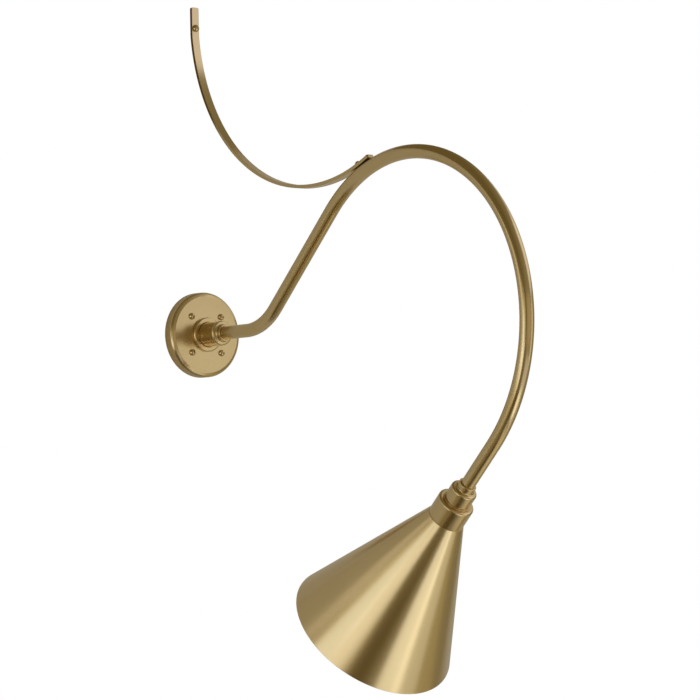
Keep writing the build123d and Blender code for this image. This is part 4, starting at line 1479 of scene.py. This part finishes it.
def spread(degrees, reach):
    """Width that fills an angle at a reach."""
    return 2 * reach * math.tan(math.radians(degrees) / 2)


def upright(left, right, low, high, y):
    """Corners of an upright plane that looks away from the wall."""
    return [(left, y, low), (right, y, low), (right, y, high), (left, y, high)]


def flat_plane(name, corners, material):
    """Plane of the stage."""
    mesh = bpy.data.meshes.new(name)
    mesh.from_pydata(corners, [], [list(range(len(corners)))])
    plane = bpy.data.objects.new(name, mesh)
    plane.data.materials.append(material)
    bpy.context.scene.collection.objects.link(plane)
    return plane


def front_alone(tree, front):
    """Show a shader on the front of a plane and leave its back clear."""
    shape = add_node(tree, "ShaderNodeNewGeometry")
    clear = add_node(tree, "ShaderNodeBsdfTransparent")
    sides = add_node(tree, "ShaderNodeMixShader", Fac=shape.outputs["Backfacing"])
    put(tree, sides.inputs[1], front.outputs[0])
    put(tree, sides.inputs[2], clear.outputs[0])
    feed(tree, tree.nodes["Material Output"], Surface=sides.outputs[0])


def paint_material(name, base):
    """Pale matt paint that is seen from its front alone."""
    material, tree, shader, place = new_material(name)
    smudge = use_group(tree, "Smudges", place["Object"], Scale=1.5)
    tone = blend_colour(tree, smudge, base, [PAINT_BLOTCH * value for value in base])
    feed(tree, shader, Base_Color=tone, Roughness=0.9, Specular_IOR_Level=0.1)
    front_alone(tree, shader)
    return material


def glow_material(name):
    """Surface that gives light of its own and throws none back."""
    material, tree, shader, place = new_material(name)
    feed(tree, shader, Base_Color=(0, 0, 0, 1), Specular_IOR_Level=0.0)
    feed(tree, shader, Emission_Color=(1, 1, 1, 1), Emission_Strength=1.0)
    return material, tree, shader, place


def card_material():
    """White card that is seen from its front alone."""
    material, tree, shader, _ = glow_material("White card")
    front_alone(tree, shader)
    return material


def room_material(stage):
    """Dim room that grows brighter to one side."""
    material, tree, shader, place = glow_material("Dim room")
    outward = add_node(tree, "ShaderNodeVectorMath", {"operation": "NORMALIZE"}, Vector=place["Object"])
    toward = add_node(tree, "ShaderNodeVectorMath", {"operation": "DOT_PRODUCT"}, Vector=outward.outputs[0])
    put(tree, toward.inputs[1], around(*ROOM_BRIGHT_SIDE))
    level = map_range(tree, toward.outputs["Value"], From_Min=-0.1, From_Max=0.9)
    feed(tree, shader, Emission_Color=blend_colour(tree, level, stage.room_dim, stage.room_bright))
    return material


def add_room(stage):
    """Dim room round the light, as a ball."""
    radius = stage.room_radius
    rows = [(radius * math.sin(t), radius * math.cos(t)) for t in steps(0, math.pi, 32)]
    room = turned("room", rows, Matrix(), ROOM_SIDES, False)
    room.data.materials.append(room_material(stage))
    return room


def add_lamp(name, azimuth, elevation, reach, wide, high, power, tint):
    """Soft rectangular lamp that looks at the light."""
    lamp = bpy.data.lights.new(name, "AREA")
    lamp.shape = "RECTANGLE"
    lamp.size, lamp.size_y = spread(wide, reach), spread(high, reach)
    lamp.energy, lamp.color = power, tint
    holder = bpy.data.objects.new(name, lamp)
    holder.matrix_world = facing(azimuth, elevation, reach)
    bpy.context.scene.collection.objects.link(holder)


def add_flag(name, felt, azimuth, elevation, reach, wide, high):
    """Dark flag that looks at the light."""
    place = facing(azimuth, elevation, reach)
    across, rise = spread(wide, reach) / 2, spread(high, reach) / 2
    corners = [place @ Vector((-x * across, -y * rise, 0.0)) for x, y in CORNERS]
    return flat_plane(name, corners, felt)


def add_camera(scene, stage):
    """Camera at the photograph's angle and frame."""
    back = around(math.degrees(stage.azimuth), math.degrees(stage.elevation))
    level = Vector((math.cos(stage.azimuth), math.sin(stage.azimuth), 0.0))
    upward = back.cross(level)
    right = level * math.cos(stage.roll) + upward * math.sin(stage.roll)
    up = upward * math.cos(stage.roll) - level * math.sin(stage.roll)
    reach = stage.distance / stage.focal
    lens = bpy.data.cameras.new("Camera")
    lens.sensor_width = SENSOR
    lens.lens = stage.focal * SENSOR
    lens.clip_end = 50.0
    camera = bpy.data.objects.new("Camera", lens)
    camera.matrix_world = Matrix((right, up, back)).transposed().to_4x4()
    camera.location = back * stage.distance - right * (stage.canopy_x * reach) - up * (stage.canopy_y * reach)
    scene.collection.objects.link(camera)
    scene.camera = camera


class BARN_OT_stage(bpy.types.Operator):
    """Floor, wall, room, lamps, flags and camera"""

    bl_idname = "barn_light.stage"
    bl_label = "Stage"

    def execute(self, context):
        scene = context.scene
        stage = scene.barn_stage
        drop, top, far, gap = -stage.floor_drop, stage.wall_top, stage.wall_reach, stage.wall_gap
        near = -stage.floor_depth
        floor = [(-far, near, drop), (far, near, drop), (far, 0.0, drop), (-far, 0.0, drop)]
        unseen = [flat_plane("floor", floor, paint_material("Pale floor", stage.floor_paint))]
        paint = paint_material("Pale wall", stage.wall_paint)
        beside = (-far, -gap, drop, top), (gap, far, drop, top)
        between = (-gap, gap, drop, -gap), (-gap, gap, gap, top)
        for panel in (*beside, *between):
            unseen.append(flat_plane("wall", upright(*panel, stage.wall_back), paint))
        flat_plane("card", upright(-far, far, drop, top, stage.card_back), card_material())
        unseen.append(add_room(stage))

        scene.world = bpy.data.worlds.new("Studio")
        scene.world.use_nodes = True
        tree = scene.world.node_tree
        feed(tree, tree.nodes["Background"], Color=(1, 1, 1, 1), Strength=1.0)
        for name, values in LAMPS.items():
            add_lamp(name, *values)

        felt = plain_material("Brown felt", stage.felt, stage.felt_dark, 0.9, 60.0)
        for name, values in FLAGS.items():
            unseen.append(add_flag(name, felt, *values))
        unseen.append(flat_plane("strap_flag", upright(*STRAP_FLAG, top, STRAP_FLAG_FRONT), felt))
        for thing in unseen:
            thing.visible_camera = False
        add_camera(scene, stage)
        scene.view_settings.view_transform = "Standard"
        return {"FINISHED"}


OPERATORS = (
    BARN_OT_canopy,
    BARN_OT_screws,
    BARN_OT_hub,
    BARN_OT_arm,
    BARN_OT_brace,
    BARN_OT_fitter,
    BARN_OT_shade,
    BARN_OT_socket,
    BARN_OT_bulb,
    BARN_OT_nuts,
    BARN_OT_connectors,
    BARN_OT_carried,
    BARN_OT_stage,
)


class BARN_PT_panel(bpy.types.Panel):
    """Steps that build the barn light"""

    bl_idname = "BARN_PT_panel"
    bl_label = "Barn light"
    bl_space_type = "VIEW_3D"
    bl_region_type = "UI"
    bl_category = "Barn light"

    def draw(self, context):
        for operator in OPERATORS:
            self.layout.operator(operator.bl_idname)


def register():
    """Add the settings, the operators and the panel."""
    for name, group in SETTINGS.items():
        bpy.utils.register_class(group)
        setattr(bpy.types.Scene, name, PointerProperty(type=group))
    for made in (*OPERATORS, BARN_PT_panel):
        bpy.utils.register_class(made)


def unregister():
    """Take the panel, the operators and the settings away."""
    for made in (BARN_PT_panel, *reversed(OPERATORS)):
        bpy.utils.unregister_class(made)
    for name, group in reversed(SETTINGS.items()):
        delattr(bpy.types.Scene, name)
        bpy.utils.unregister_class(group)


def main():
    """Build every piece and the stage."""
    register()
    for operator in OPERATORS:
        name = operator.bl_idname.split(".")[1]
        if "FINISHED" not in getattr(bpy.ops.barn_light, name)():
            raise RuntimeError(f"{operator.bl_label} was not built")


if __name__ == "__main__":
    main()
